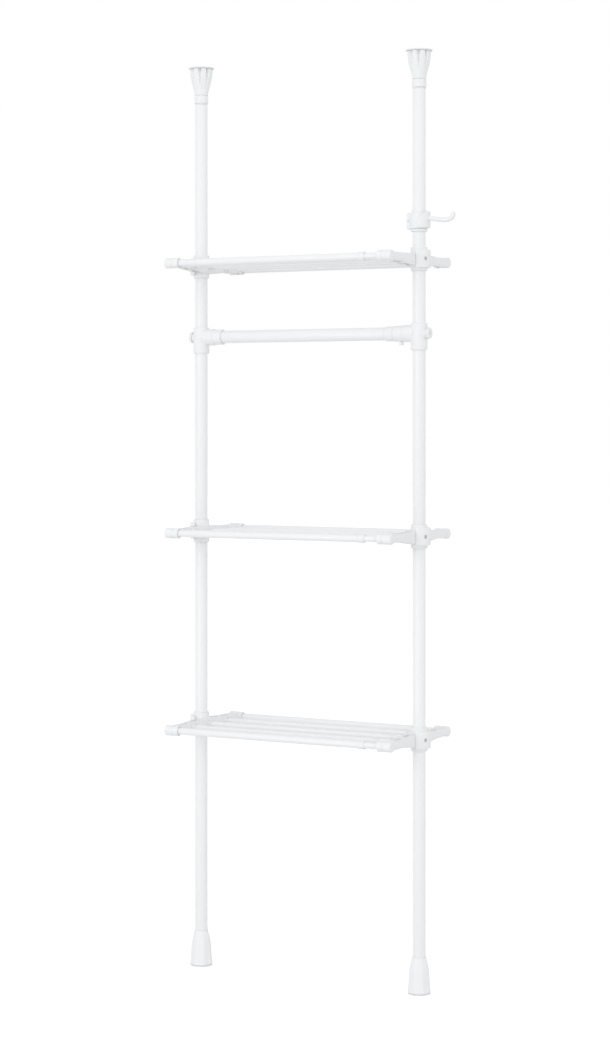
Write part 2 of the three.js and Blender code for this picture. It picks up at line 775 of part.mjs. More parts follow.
function addHook() {
  const group = new THREE.Group();
  group.position.set(poleSpacing, 0, hookHeight);
  unit.add(group);
  add(group, "hook_liner", hookLiner(), whitePlastic);
  add(group, "hook_clamp", hookClamp(), whitePlastic);
  add(group, "hook_arm", hookArm(), whitePlastic);
  add(group, "hook_screw", hookScrew(), zincSteel);
}

addPole("left");
addPole("right");
addShelf("top", topShelfHeight);
addShelf("middle", middleShelfHeight);
addShelf("bottom", bottomShelfHeight);
addBar();
addHook();

export default unit;
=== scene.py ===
"""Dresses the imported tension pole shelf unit.

Every piece is modelled where its CAD node stands, in metres, with the origin under the left
pole, X towards the right pole and the front towards -Y. What both sides share is modelled on
the left one and copied or mirrored, and what the three shelves share is modelled once and copied.
"""

import logging
import math
from abc import ABC, abstractmethod
from dataclasses import dataclass, replace
from enum import Enum, IntEnum
from typing import Callable, Optional, Sequence

import bmesh
import bpy
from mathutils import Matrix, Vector


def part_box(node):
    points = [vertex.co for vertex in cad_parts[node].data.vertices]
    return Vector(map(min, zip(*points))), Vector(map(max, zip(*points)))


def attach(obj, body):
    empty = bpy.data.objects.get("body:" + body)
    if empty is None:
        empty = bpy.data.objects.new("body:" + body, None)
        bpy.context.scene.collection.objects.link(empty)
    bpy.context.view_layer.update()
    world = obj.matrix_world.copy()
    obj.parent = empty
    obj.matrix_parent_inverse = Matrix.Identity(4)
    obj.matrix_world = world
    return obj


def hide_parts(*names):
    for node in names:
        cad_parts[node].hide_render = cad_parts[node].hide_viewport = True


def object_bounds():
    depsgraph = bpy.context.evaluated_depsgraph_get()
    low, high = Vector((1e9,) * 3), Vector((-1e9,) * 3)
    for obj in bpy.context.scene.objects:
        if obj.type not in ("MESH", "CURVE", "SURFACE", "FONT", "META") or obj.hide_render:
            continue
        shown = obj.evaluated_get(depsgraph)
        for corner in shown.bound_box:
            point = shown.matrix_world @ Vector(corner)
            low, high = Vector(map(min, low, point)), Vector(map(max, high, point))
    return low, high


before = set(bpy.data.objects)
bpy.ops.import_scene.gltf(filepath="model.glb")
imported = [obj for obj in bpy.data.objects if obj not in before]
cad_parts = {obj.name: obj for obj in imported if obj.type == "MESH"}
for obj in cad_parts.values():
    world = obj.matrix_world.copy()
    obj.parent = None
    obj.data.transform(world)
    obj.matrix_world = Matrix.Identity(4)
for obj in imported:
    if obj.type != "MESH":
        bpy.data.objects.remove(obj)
cad_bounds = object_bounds()

MM = 0.001
GAP = 0.3 * MM
OVERRUN = 2 * MM
WELD = 0.002 * MM
TUBE_WALL = 1.2 * MM
SPIN_STEP = math.radians(4)
SMOOTH_ANGLE = math.radians(32)
BEVEL_ANGLE = math.radians(40)
QUARTER_TURN = math.pi / 2
BEVEL_STEPS = 3
CURVE_STEPS = 3
LIP_SETBACK_SHARE = 1 / 3
FULL_LIP_SETBACK_SHARE = 1 / 4
PHOTO_HEIGHT = 1044

log = logging.getLogger("shelf_unit")


class Slot(Enum):
    """The record's material slots."""

    PAINTED_STEEL = "painted_steel"
    WHITE_PLASTIC = "white_plastic"
    PALE_RUBBER = "pale_rubber"
    ZINC_STEEL = "zinc_steel"


class Side(Enum):
    """The two poles."""

    LEFT = "left"
    RIGHT = "right"


class Join(Enum):
    """What a boolean does with its second form."""

    UNION = "UNION"
    DIFFERENCE = "DIFFERENCE"


class Sides(IntEnum):
    """How many corners a round form has, by what it is."""

    HOLE = 24
    SCREW = 32
    PIPE = 40
    SLEEVE = 48
    BOSS = 48
    LOBE = 56
    COLLAR = 64
    POLE = 72
    PAD = 96


@dataclass(frozen=True)
class Ring:
    """One ring of a turned form.

    Attributes:
        radius: its radius, measured on a ridge where it has hollows.
        height: its place along the form's axis.
        depth: how deep its hollows are.
        width: the share of each pitch over which a hollow is open.
    """

    radius: float
    height: float
    depth: float = 0.0
    width: float = 1.0

    def foot_lip(self, edge: float, setback_share: float = LIP_SETBACK_SHARE) -> list["Ring"]:
        """Rounds the sharp edge that this ring would make at a form's foot.

        Args:
            edge: how wide the rounding is.
            setback_share: the share of it by which its middle stands back from both faces.

        Returns:
            Three rings, from the end face up to the side.
        """
        setback = edge * setback_share
        return [
            replace(self, radius=self.radius - edge),
            replace(self, radius=self.radius - setback, height=self.height + setback),
            replace(self, height=self.height + edge),
        ]

    def top_lip(self, edge: float, setback_share: float = LIP_SETBACK_SHARE) -> list["Ring"]:
        """Rounds the sharp edge that this ring would make at a form's top.

        Args:
            edge: how wide the rounding is.
            setback_share: the share of it by which its middle stands back from both faces.

        Returns:
            Three rings, from the side up to the end face.
        """
        setback = edge * setback_share
        return [
            replace(self, height=self.height - edge),
            replace(self, radius=self.radius - setback, height=self.height - setback),
            replace(self, radius=self.radius - edge),
        ]


@dataclass(frozen=True)
class Hollows:
    """Hollows pressed into a turned form's side at equal steps round it.

    Attributes:
        count: how many there are.
        steps: corners from one to the next.
        sharp: a V when true, and a round scallop otherwise.
    """

    count: int
    steps: int = 1
    sharp: bool = False

    def share(self, phase: int, width: float) -> float:
        """Gives the share of its full depth that a hollow has at a corner.

        Args:
            phase: the corner's number within its pitch.
            width: the share of the pitch over which the hollow is open.

        Returns:
            A number from 0 on a ridge to 1 at the bottom of the hollow.
        """
        distance = abs(phase / self.steps - 0.5) * 2
        if self.steps == 1 or distance >= width:
            return 0.0
        near = 1 - distance / width
        return near if self.sharp else 0.5 - 0.5 * math.cos(math.pi * near)


@dataclass(frozen=True)
class DomedScrew:
    """The sizes of a screw with a domed head and a cross recess.

    Attributes:
        shank_radius: the shank's radius.
        head_radius: the head's radius.
        head_height: the head's height.
        cross_size: how long each bar of the cross is.
        cross_depth: how deep the cross goes.
    """

    shank_radius: float
    head_radius: float
    head_height: float
    cross_size: float
    cross_depth: float = 1.6 * MM


class CadPiece:
    """The box of a CAD node, read as places and sizes."""

    def __init__(self, node: str) -> None:
        """Reads the node's box.

        Args:
            node: the CAD node's name.
        """
        self.low, self.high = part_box(node)

    @property
    def centre(self) -> Vector:
        """The middle of the box."""
        return (self.low + self.high) / 2

    @property
    def span(self) -> Vector:
        """The box's width, depth and height."""
        return self.high - self.low


class Bench:
    """The modelling moves that all the sub-assemblies share."""

    SCALE_DIGITS = 9
    TUBE_LIP_SHARE = 1 / 4
    END_STEPS = 8
    DOME_SHARES = ((1, 1 / 3), (0.86, 1 / 9), (0.6, 0))
    CROSS_HALF_WIDTH_SHARE = 1 / 9
    CROSS_FLOOR_SHARES = (0.5, 0.8, 1)

    def clear(self) -> None:
        """Deselects every object."""
        bpy.ops.object.select_all(action="DESELECT")

    def pick(self, *pieces: bpy.types.Object) -> None:
        """Selects only the given objects and makes the first one active.

        Args:
            pieces: the objects.
        """
        self.clear()
        for piece in pieces:
            piece.select_set(True)
        bpy.context.view_layer.objects.active = pieces[0]

    def lay(
        self,
        piece: bpy.types.Object,
        turn: Sequence[float] = (0, 0, 0),
        place: Sequence[float] = (0, 0, 0),
        size: Sequence[float] = (1, 1, 1),
    ) -> bpy.types.Object:
        """Sizes, turns and moves an object, and puts all of it into the mesh.

        Args:
            piece: the object.
            turn: its turn about X, Y and Z.
            place: where its origin goes.
            size: its scale along X, Y and Z.

        Returns:
            The same object, back at the origin.
        """
        piece.scale = size
        piece.rotation_euler = turn
        piece.location = place
        self.pick(piece)
        bpy.ops.object.transform_apply(location=True, rotation=True, scale=True)
        return piece

    def scrap(self, piece: bpy.types.Object) -> None:
        """Removes an object and its mesh.

        Args:
            piece: the object.
        """
        mesh = piece.data
        bpy.data.objects.remove(piece, do_unlink=True)
        bpy.data.meshes.remove(mesh)

    def open_for_editing(self, piece: bpy.types.Object) -> None:
        """Goes into edit mode on an object, by corners and with nothing selected.

        Args:
            piece: the object.
        """
        self.pick(piece)
        bpy.ops.object.mode_set(mode="EDIT")
        bpy.context.tool_settings.mesh_select_mode = (True, False, False)
        bpy.ops.mesh.select_all(action="DESELECT")

    def select_corners(
        self, piece: bpy.types.Object, wanted: Callable[[Vector], bool]
    ) -> None:
        """Selects, in edit mode, the corners whose place passes a test.

        Args:
            piece: the object in edit mode.
            wanted: the test on a corner's place.
        """
        mesh = bmesh.from_edit_mesh(piece.data)
        for corner in mesh.verts:
            corner.select_set(wanted(corner.co))
        mesh.select_flush_mode()
        bmesh.update_edit_mesh(piece.data)

    def close_up(self, piece: bpy.types.Object) -> None:
        """Merges doubles, turns all faces outwards and leaves edit mode.

        Args:
            piece: the object in edit mode.
        """
        bpy.ops.mesh.select_all(action="SELECT")
        bpy.ops.mesh.remove_doubles(threshold=WELD)
        bpy.ops.mesh.normals_make_consistent(inside=False)
        bpy.ops.object.mode_set(mode="OBJECT")
        self.lay(piece, place=piece.location)

    def turned(
        self,
        rings: Sequence[Ring],
        sides: int = Sides.SLEEVE,
        hollows: Optional[Hollows] = None,
        bored: bool = False,
    ) -> bpy.types.Object:
        """Draws a circle up through a row of rings, as on a lathe.

        Args:
            rings: the rings from the bottom of the outside on.
            sides: corners of each ring, where it has no hollows.
            hollows: what is pressed into the side.
            bored: whether the last ring goes back to the first, round a bore. The ends
                are filled where it doesn't.

        Returns:
            The form, about the Z axis.
        """
        pattern = hollows or Hollows(count=sides)
        first = rings[0]
        self.clear()
        bpy.ops.mesh.primitive_circle_add(
            vertices=pattern.count * pattern.steps,
            radius=first.radius,
            location=(0, 0, 0),
        )
        piece = bpy.context.object
        piece.data.transform(piece.matrix_world)
        bpy.ops.object.mode_set(mode="EDIT")
        bpy.context.tool_settings.mesh_select_mode = (True, False, False)
        bpy.ops.transform.translate(value=(0, 0, first.height))
        reached = self._press(piece, first, pattern, [first.radius] * pattern.steps)
        height = first.height
        for ring in [*rings[1:], *(rings[:1] if bored else [])]:
            bpy.ops.mesh.extrude_region_move(
                TRANSFORM_OT_translate={"value": (0, 0, ring.height - height)}
            )
            reached = self._press(piece, ring, pattern, reached)
            height = ring.height
        if not bored:
            bpy.ops.mesh.select_all(action="SELECT")
            bpy.ops.mesh.fill_holes(sides=0)
        self.close_up(piece)
        return piece

    def _press(
        self,
        piece: bpy.types.Object,
        ring: Ring,
        pattern: Hollows,
        reached: Sequence[float],
    ) -> list[float]:
        """Brings each corner of the selected ring to its own radius.

        Args:
            piece: the object in edit mode.
            ring: the ring's sizes.
            pattern: the hollows round it.
            reached: the radius that each phase of the pattern has now.

        Returns:
            The radius that each phase has afterwards.
        """
        phases = range(pattern.steps)
        wanted = [ring.radius - ring.depth * pattern.share(phase, ring.width) for phase in phases]
        scales = [round(new / old, self.SCALE_DIGITS) for new, old in zip(wanted, reached)]
        centre = (0, 0, ring.height)
        if len(set(scales)) == 1:
            bpy.ops.transform.resize(value=(scales[0], scales[0], 1), center_override=centre)
            return wanted
        mesh = bmesh.from_edit_mesh(piece.data)
        mesh.verts.index_update()
        total = pattern.count * pattern.steps
        phase_of = {}
        for corner in mesh.verts:
            if corner.select:
                turn = math.atan2(corner.co.y, corner.co.x) / math.tau
                phase_of[corner.index] = round(turn * total) % pattern.steps
        for scale in sorted(set(scales)):
            chosen = {index for index, phase in phase_of.items() if scales[phase] == scale}
            self._select_numbers(piece, chosen)
            bpy.ops.transform.resize(value=(scale, scale, 1), center_override=centre)
        self._select_numbers(piece, set(phase_of))
        return wanted

    def _select_numbers(self, piece: bpy.types.Object, numbers: set[int]) -> None:
        """Selects, in edit mode, the corners with these numbers.

        Args:
            piece: the object in edit mode.
            numbers: the corners' numbers.
        """
        mesh = bmesh.from_edit_mesh(piece.data)
        for index, corner in enumerate(mesh.verts):
            corner.select_set(index in numbers)
        mesh.select_flush_mode()
        bmesh.update_edit_mesh(piece.data)

    def rod(self, radius: float, bottom: float, top: float, sides: int) -> bpy.types.Object:
        """Makes a plain round rod on the Z axis."""
        return self.turned([Ring(radius, bottom), Ring(radius, top)], sides)

    def tube(self, radius: float, bottom: float, top: float, sides: int) -> bpy.types.Object:
        """Makes a tube of the unit's usual wall on the Z axis, with rounded lips.

        Args:
            radius: the outer radius.
            bottom: where it begins.
            top: where it ends.
            sides: corners round it.

        Returns:
            The tube.
        """
        bore = radius - TUBE_WALL
        rings = [Ring(bore, bottom), Ring(radius, bottom), Ring(radius, top), Ring(bore, top)]
        piece = self.turned(rings, sides, bored=True)
        return self.rounded(piece, TUBE_WALL * self.TUBE_LIP_SHARE, steps=2)

    def block(self, low: Sequence[float], high: Sequence[float]) -> bpy.types.Object:
        """Makes a block between two corners, as a start for other moves.

        Args:
            low: the lowest corner.
            high: the highest corner.

        Returns:
            The block.
        """
        low_corner, high_corner = Vector(low), Vector(high)
        self.clear()
        bpy.ops.mesh.primitive_cube_add(size=1)
        return self.lay(
            bpy.context.object,
            place=(low_corner + high_corner) / 2,
            size=high_corner - low_corner,
        )

    def stadium(self, radius: float, run: float, bottom: float, top: float) -> bpy.types.Object:
        """Makes an upright form with round ends, which lies along Y from its first end's axis.

        Args:
            radius: the radius of its ends.
            run: the distance between the two ends' axes.
            bottom: where it begins.
            top: where it ends.

        Returns:
            The form.
        """
        piece = self.block((-radius, 0, bottom), (radius, run, top))
        for way, side in ((1, run), (-1, 0.0)):
            self.open_for_editing(piece)
            self.select_corners(piece, lambda corner, y=side: abs(corner.y - y) < WELD)
            reach, width = 0.0, radius
            for step in range(1, self.END_STEPS + 1):
                # Half a step short of the tip, where the end would have no width.
                angle = QUARTER_TURN * step / (self.END_STEPS + 0.5)
                next_reach, next_width = radius * math.sin(angle), radius * math.cos(angle)
                bpy.ops.mesh.extrude_region_move(
                    TRANSFORM_OT_translate={"value": (0, way * (next_reach - reach), 0)}
                )
                scale = next_width / width
                bpy.ops.transform.resize(value=(scale, 1, 1), center_override=(0, 0, 0))
                reach, width = next_reach, next_width
            bpy.ops.object.mode_set(mode="OBJECT")
        self.open_for_editing(piece)
        self.close_up(piece)
        return piece

    def swept(
        self, inner: float, outer: float, half_height: float, spread: float, middle: float
    ) -> bpy.types.Object:
        """Spins an upright rectangle about the Z axis into a curved shell.

        Args:
            inner: the shell's inner radius.
            outer: its outer radius.
            half_height: half its height.
            spread: the angle that it spans.
            middle: the angle of its middle, from +X.

        Returns:
            The shell, centred on the ground.
        """
        self.clear()
        bpy.ops.mesh.primitive_plane_add(size=1)
        piece = self.lay(
            bpy.context.object,
            turn=(QUARTER_TURN, 0, 0),
            place=((inner + outer) / 2, 0, 0),
            size=(outer - inner, 2 * half_height, 1),
        )
        self.open_for_editing(piece)
        bpy.ops.mesh.select_all(action="SELECT")
        steps = round(spread / SPIN_STEP)
        bpy.ops.mesh.spin(steps=steps, angle=spread, center=(0, 0, 0), axis=(0, 0, 1))
        self.close_up(piece)
        swept_to = max(math.atan2(corner.co.y, corner.co.x) for corner in piece.data.vertices)
        return self.lay(piece, turn=(0, 0, middle - swept_to + spread / 2))

    def rounded(
        self, piece: bpy.types.Object, width: float, steps: int = BEVEL_STEPS
    ) -> bpy.types.Object:
        """Rounds an object's sharp edges.

        Args:
            piece: the object.
            width: how wide the rounding is.
            steps: how many faces it has.

        Returns:
            The same object.
        """
        self.pick(piece)
        bpy.ops.object.modifier_add(type="BEVEL")
        bevel = piece.modifiers[-1]
        bevel.width = width
        bevel.segments = steps
        bevel.limit_method = "ANGLE"
        bevel.angle_limit = BEVEL_ANGLE
        bevel.miter_outer = "MITER_ARC"
        bpy.ops.object.modifier_apply(modifier=bevel.name)
        return piece

    def joined(
        self, piece: bpy.types.Object, others: Sequence[bpy.types.Object], join: Join
    ) -> bpy.types.Object:
        """Adds forms to an object, or cuts them out of it, and scraps them.

        Args:
            piece: the object that is kept.
            others: the forms.
            join: whether they are added or cut out.

        Returns:
            The same object.
        """
        for other in others:
            self.pick(piece)
            bpy.ops.object.modifier_add(type="BOOLEAN")
            boolean = piece.modifiers[-1]
            boolean.operation = join.value
            boolean.solver = "EXACT"
            boolean.object = other
            bpy.ops.object.modifier_apply(modifier=boolean.name)
            self.scrap(other)
        return piece

    def fused(self, piece: bpy.types.Object, *others: bpy.types.Object) -> bpy.types.Object:
        """Makes one body of several forms."""
        return self.joined(piece, others, Join.UNION)

    def cut(self, piece: bpy.types.Object, *cutters: bpy.types.Object) -> bpy.types.Object:
        """Cuts forms out of a body."""
        return self.joined(piece, cutters, Join.DIFFERENCE)

    def copied(self, piece: bpy.types.Object, offset: Sequence[float]) -> bpy.types.Object:
        """Copies an object with its own mesh.

        Args:
            piece: the object.
            offset: how far away the copy stands.

        Returns:
            The copy.
        """
        self.pick(piece)
        bpy.ops.object.duplicate(linked=False)
        return self.lay(bpy.context.object, place=offset)

    def mirrored(self, piece: bpy.types.Object, plane: float) -> bpy.types.Object:
        """Copies an object to the other side of an upright plane across X.

        Args:
            piece: the object.
            plane: where the plane stands.

        Returns:
            The copy, with its faces outwards.
        """
        self.pick(piece)
        bpy.ops.object.duplicate(linked=False)
        copy = self.lay(bpy.context.object, place=(2 * plane, 0, 0), size=(-1, 1, 1))
        self.open_for_editing(copy)
        self.close_up(copy)
        return copy

    def along_x(
        self, piece: bpy.types.Object, place: Sequence[float] = (0, 0, 0)
    ) -> bpy.types.Object:
        """Turns the Z axis of a form onto +X, and moves it."""
        return self.lay(piece, turn=(0, QUARTER_TURN, 0), place=place)

    def outwards(
        self, piece: bpy.types.Object, place: Sequence[float] = (0, 0, 0)
    ) -> bpy.types.Object:
        """Turns the Z axis of a form onto -X, away from the other pole, and moves it."""
        return self.lay(piece, turn=(0, -QUARTER_TURN, 0), place=place)

    def cross_recess(self, size: float, depth: float, top: float) -> bpy.types.Object:
        """Makes the cutter of a screw's cross recess, narrower towards its bottom.

        Args:
            size: how long each arm of the cross is.
            depth: how deep it goes.
            top: the height of the screw's face.

        Returns:
            The cutter on the Z axis.
        """
        long, wide = size / 2, size * self.CROSS_HALF_WIDTH_SHARE
        bars = []
        for turn in (0.0, QUARTER_TURN):
            bar = self.block((-long, -wide, top - depth), (long, wide, top + depth))
            self.open_for_editing(bar)
            self.select_corners(bar, lambda corner: corner.z < top)
            bpy.ops.transform.resize(value=self.CROSS_FLOOR_SHARES, center_override=(0, 0, top))
            bpy.ops.object.mode_set(mode="OBJECT")
            bars.append(self.lay(bar, turn=(0, 0, turn)))
        return self.fused(*bars)

    def domed_screw(self, sizes: DomedScrew, start: float, seat: float) -> bpy.types.Object:
        """Turns a screw on the Z axis and cuts the cross recess in its domed head.

        Args:
            sizes: the screw's sizes.
            start: where its shank begins.
            seat: where its head sits.

        Returns:
            The screw.
        """
        top = seat + sizes.head_height
        rings = [
            Ring(sizes.shank_radius, start),
            Ring(sizes.shank_radius, seat),
            Ring(sizes.head_radius, seat),
        ]
        for radius_share, drop_share in self.DOME_SHARES:
            rings.append(
                Ring(sizes.head_radius * radius_share, top - sizes.head_height * drop_share)
            )
        cross = self.cross_recess(sizes.cross_size, sizes.cross_depth, top)
        return self.cut(self.turned(rings, Sides.SCREW), cross)


def fill(tree: bpy.types.NodeTree, node: bpy.types.Node, values: dict) -> None:
    """Feeds a node's inputs.

    Args:
        tree: the node's tree.
        node: the node.
        values: for each input, by name or number, the socket that feeds it or a plain value.
    """
    for key, value in values.items():
        if isinstance(value, bpy.types.NodeSocket):
            tree.links.new(value, node.inputs[key])
        else:
            node.inputs[key].default_value = value


def add_node(
    tree: bpy.types.NodeTree, kind: str, values: Optional[dict] = None, **settings: object
) -> bpy.types.Node:
    """Adds a shader node to a tree.

    Args:
        tree: the tree.
        kind: the node's type.
        values: what feeds its inputs, as for fill.
        settings: the node's own properties.

    Returns:
        The node.
    """
    node = tree.nodes.new(kind)
    for name, value in settings.items():
        setattr(node, name, value)
    fill(tree, node, values or {})
    return node


class Effects:
    """The shader node groups that more than one finish uses."""

    WAVES_DETAIL = 2
    GRAIN_DETAIL = 4
    MARKS_NOISE = {"Detail": 6, "Roughness": 0.62, "Distortion": 0.7}
    MARKS_START = 0.72
    MARKS_FULL = 0.78
    DUST_DETAIL = 8
    DUST_LEAST_UPWARD = 0.55

    def __init__(self) -> None:
        """Builds the groups once."""
        self.skin = self._skin()
        self.handling = self._handling()
        self.settled_dust = self._settled_dust()

    def _group(self, name: str, inputs: Sequence[str], output: str) -> bpy.types.NodeTree:
        """Makes an empty group with number sockets.

        Args:
            name: the group's name.
            inputs: the inputs' names.
            output: the output's name.

        Returns:
            The group, with its input and output nodes in it.
        """
        group = bpy.data.node_groups.new(name, "ShaderNodeTree")
        for label in inputs:
            group.interface.new_socket(name=label, in_out="INPUT", socket_type="NodeSocketFloat")
        group.interface.new_socket(name=output, in_out="OUTPUT", socket_type="NodeSocketFloat")
        group.nodes.new("NodeGroupInput").name = "inputs"
        group.nodes.new("NodeGroupOutput").name = "outputs"
        return group

    def _noise(
        self, group: bpy.types.NodeTree, label: str, **values: float
    ) -> bpy.types.NodeSocket:
        """Adds noise on Object coordinates, scaled by an input of the group.

        Args:
            group: the group.
            label: the input that scales it.
            values: the noise's other inputs.

        Returns:
            The noise's socket.
        """
        place = add_node(group, "ShaderNodeTexCoord").outputs["Object"]
        scale = group.nodes["inputs"].outputs[label]
        noise = {"Vector": place, "Scale": scale, **values}
        return add_node(group, "ShaderNodeTexNoise", noise).outputs["Fac"]

    def _ended(self, group: bpy.types.NodeTree, result: bpy.types.NodeSocket) -> bpy.types.NodeTree:
        """Leads a result out of a group, and gives the group back."""
        group.links.new(result, group.nodes["outputs"].inputs[0])
        return group

    def _skin(self) -> bpy.types.NodeTree:
        """Builds the relief of a coated or moulded skin: broad waves under a fine grain.

        Returns:
            The group.
        """
        group = self._group("skin relief", ["Waves", "Grain", "Grain Share"], "Height")
        mix = add_node(group, "ShaderNodeMix", {
            "Factor": group.nodes["inputs"].outputs["Grain Share"],
            "A": self._noise(group, "Waves", Detail=self.WAVES_DETAIL),
            "B": self._noise(group, "Grain", Detail=self.GRAIN_DETAIL),
        })
        return self._ended(group, mix.outputs["Result"])

    def _handling(self) -> bpy.types.NodeTree:
        """Builds a mask of the faint patches that hands and cloths leave.

        Returns:
            The group.
        """
        group = self._group("handling marks", ["Scale", "Coverage"], "Mask")
        coverage = group.nodes["inputs"].outputs["Coverage"]
        start = add_node(
            group, "ShaderNodeMath", {0: self.MARKS_START, 1: coverage}, operation="SUBTRACT"
        )
        edge = add_node(group, "ShaderNodeMapRange", {
            "Value": self._noise(group, "Scale", **self.MARKS_NOISE),
            "From Min": start.outputs["Value"],
            "From Max": self.MARKS_FULL,
        }, interpolation_type="SMOOTHSTEP")
        return self._ended(group, edge.outputs["Result"])

    def _settled_dust(self) -> bpy.types.NodeTree:
        """Builds a mask of thin dust on what faces up.

        Returns:
            The group.
        """
        group = self._group("settled dust", ["Scale", "Amount"], "Mask")
        geometry = add_node(group, "ShaderNodeNewGeometry")
        split = add_node(group, "ShaderNodeSeparateXYZ", {"Vector": geometry.outputs["Normal"]})
        least = {"Value": split.outputs["Z"], "From Min": self.DUST_LEAST_UPWARD}
        mask = add_node(group, "ShaderNodeMapRange", least).outputs["Result"]
        noise = self._noise(group, "Scale", Detail=self.DUST_DETAIL)
        for share in (noise, group.nodes["inputs"].outputs["Amount"]):
            product = add_node(group, "ShaderNodeMath", {0: mask, 1: share}, operation="MULTIPLY")
            mask = product.outputs["Value"]
        return self._ended(group, mask)


@dataclass(frozen=True)
class Finish:
    """A finish: a base colour with dust and handling marks on a skin with relief.

    Attributes:
        slot: the record's slot that it fills.
        colour: the clean base colour.
        dust_colour: the colour under full dust.
        roughness: how matt the clean surface is.
        marked_roughness: how matt it is on a handling mark.
        waves: how many broad waves there are to a metre.
        grain: how many grains there are to a metre.
        grain_share: how much of the relief is grain.
        relief: how strongly the relief shows.
        relief_depth: how high the relief stands.
        marks_scale: the handling marks' scale.
        marks_coverage: how much they cover.
        dust_amount: how thick the dust is.
        dust_fineness: how many times finer the dust's patches are than the marks.
        metallic: 1 for bare metal.
        coat: the weight of a clear coat.
    """

    slot: Slot
    colour: tuple[float, float, float]
    dust_colour: tuple[float, float, float]
    roughness: float
    marked_roughness: float
    waves: float
    grain: float
    grain_share: float
    relief: float
    relief_depth: float = 0.1 * MM
    marks_scale: float = 9.0
    marks_coverage: float = 0.2
    dust_amount: float = 0.35
    dust_fineness: float = 9.0
    metallic: float = 0.0
    coat: float = 0.0

    def material(self, effects: Effects) -> bpy.types.Material:
        """Builds the finish's material.

        Args:
            effects: the shared node groups.

        Returns:
            The material, named as its slot is.
        """
        material = bpy.data.materials.new(self.slot.value)
        material.use_nodes = True
        tree = material.node_tree
        skin = add_node(tree, "ShaderNodeGroup", {
            "Waves": self.waves, "Grain": self.grain, "Grain Share": self.grain_share,
        }, node_tree=effects.skin)
        marks = add_node(tree, "ShaderNodeGroup", {
            "Scale": self.marks_scale, "Coverage": self.marks_coverage,
        }, node_tree=effects.handling)
        dust = add_node(tree, "ShaderNodeGroup", {
            "Scale": self.marks_scale * self.dust_fineness, "Amount": self.dust_amount,
        }, node_tree=effects.settled_dust)
        tint = add_node(tree, "ShaderNodeMix", {
            "Factor": dust.outputs["Mask"], "A": (*self.colour, 1), "B": (*self.dust_colour, 1),
        }, data_type="RGBA")
        matt = add_node(tree, "ShaderNodeMapRange", {
            "Value": marks.outputs["Mask"],
            "To Min": self.roughness,
            "To Max": self.marked_roughness,
        })
        bump = add_node(tree, "ShaderNodeBump", {
            "Strength": self.relief,
            "Distance": self.relief_depth,
            "Height": skin.outputs["Height"],
        })
        fill(tree, tree.nodes["Principled BSDF"], {
            "Metallic": self.metallic,
            "Coat Weight": self.coat,
            "Base Color": tint.outputs["Result"],
            "Roughness": matt.outputs["Result"],
            "Normal": bump.outputs["Normal"],
        })
        return material


class Finishes:
    """The materials of the unit, one for each slot."""

    POWDER_COAT = Finish(
        slot=Slot.PAINTED_STEEL,
        colour=(0.86, 0.87, 0.88),
        dust_colour=(0.8, 0.8, 0.79),
        roughness=0.34,
        marked_roughness=0.42,
        waves=420,
        grain=2600,
        grain_share=0.25,
        relief=0.18,
        coat=0.15,
    )
    MOULDED_PLASTIC = Finish(
        slot=Slot.WHITE_PLASTIC,
        colour=(0.85, 0.86, 0.87),
        dust_colour=(0.79, 0.79, 0.78),
        roughness=0.46,
        marked_roughness=0.38,
        waves=260,
        grain=5200,
        grain_share=0.6,
        relief=0.2,
        marks_scale=14,
        marks_coverage=0.24,
    )
    SOFT_RUBBER = Finish(
        slot=Slot.PALE_RUBBER,
        colour=(0.8, 0.81, 0.82),
        dust_colour=(0.74, 0.73, 0.71),
        roughness=0.82,
        marked_roughness=0.9,
        waves=500,
        grain=7000,
        grain_share=0.75,
        relief=0.35,
        dust_amount=0.5,
    )
    ZINC_PLATE = Finish(
        slot=Slot.ZINC_STEEL,
        colour=(0.6, 0.61, 0.63),
        dust_colour=(0.5, 0.5, 0.5),
        roughness=0.32,
        marked_roughness=0.5,
        waves=900,
        grain=4000,
        grain_share=0.5,
        relief=0.22,
        marks_scale=60,
        dust_amount=0.15,
        metallic=1.0,
    )

    def __init__(self, bench: Bench) -> None:
        """Builds the four materials.

        Args:
            bench: the modelling moves.
        """
        self.bench = bench
        effects = Effects()
        chosen = (self.POWDER_COAT, self.MOULDED_PLASTIC, self.SOFT_RUBBER, self.ZINC_PLATE)
        self.materials = {finish.slot: finish.material(effects) for finish in chosen}

    def hand_over(
        self, piece: bpy.types.Object, name: str, slot: Slot, body: str, *nodes: str
    ) -> None:
        """Dresses a finished piece, hangs it on the body that it rides on and hides the CAD nodes
        that it stands for.

        Args:
            piece: the object.
            name: its name.
            slot: the slot of its finish.
            body: the CAD body that it rides on.
            nodes: the CAD nodes that it stands for.
        """
        piece.name = name
        piece.data.name = name
        self.bench.pick(piece)
        bpy.ops.object.shade_smooth_by_angle(angle=SMOOTH_ANGLE)
        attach(piece, body)
        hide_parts(*nodes)
        self.coat(piece, slot)
        log.info("%s: %d faces, rides on %s", name, len(piece.data.polygons), body)

    def coat(self, piece: bpy.types.Object, slot: Slot) -> None:
        """Gives an object the material of a slot.

        Args:
            piece: the object.
            slot: the slot.
        """
        piece.data.materials.clear()
        piece.data.materials.append(self.materials[slot])

    def dress(self, node: str, slot: Slot) -> None:
        """Gives a CAD node that stays in view its finish.

        Args:
            node: the node's name.
            slot: the slot of its finish.
        """
        self.coat(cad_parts[node], slot)
        log.info("%s: kept from the frame", node)


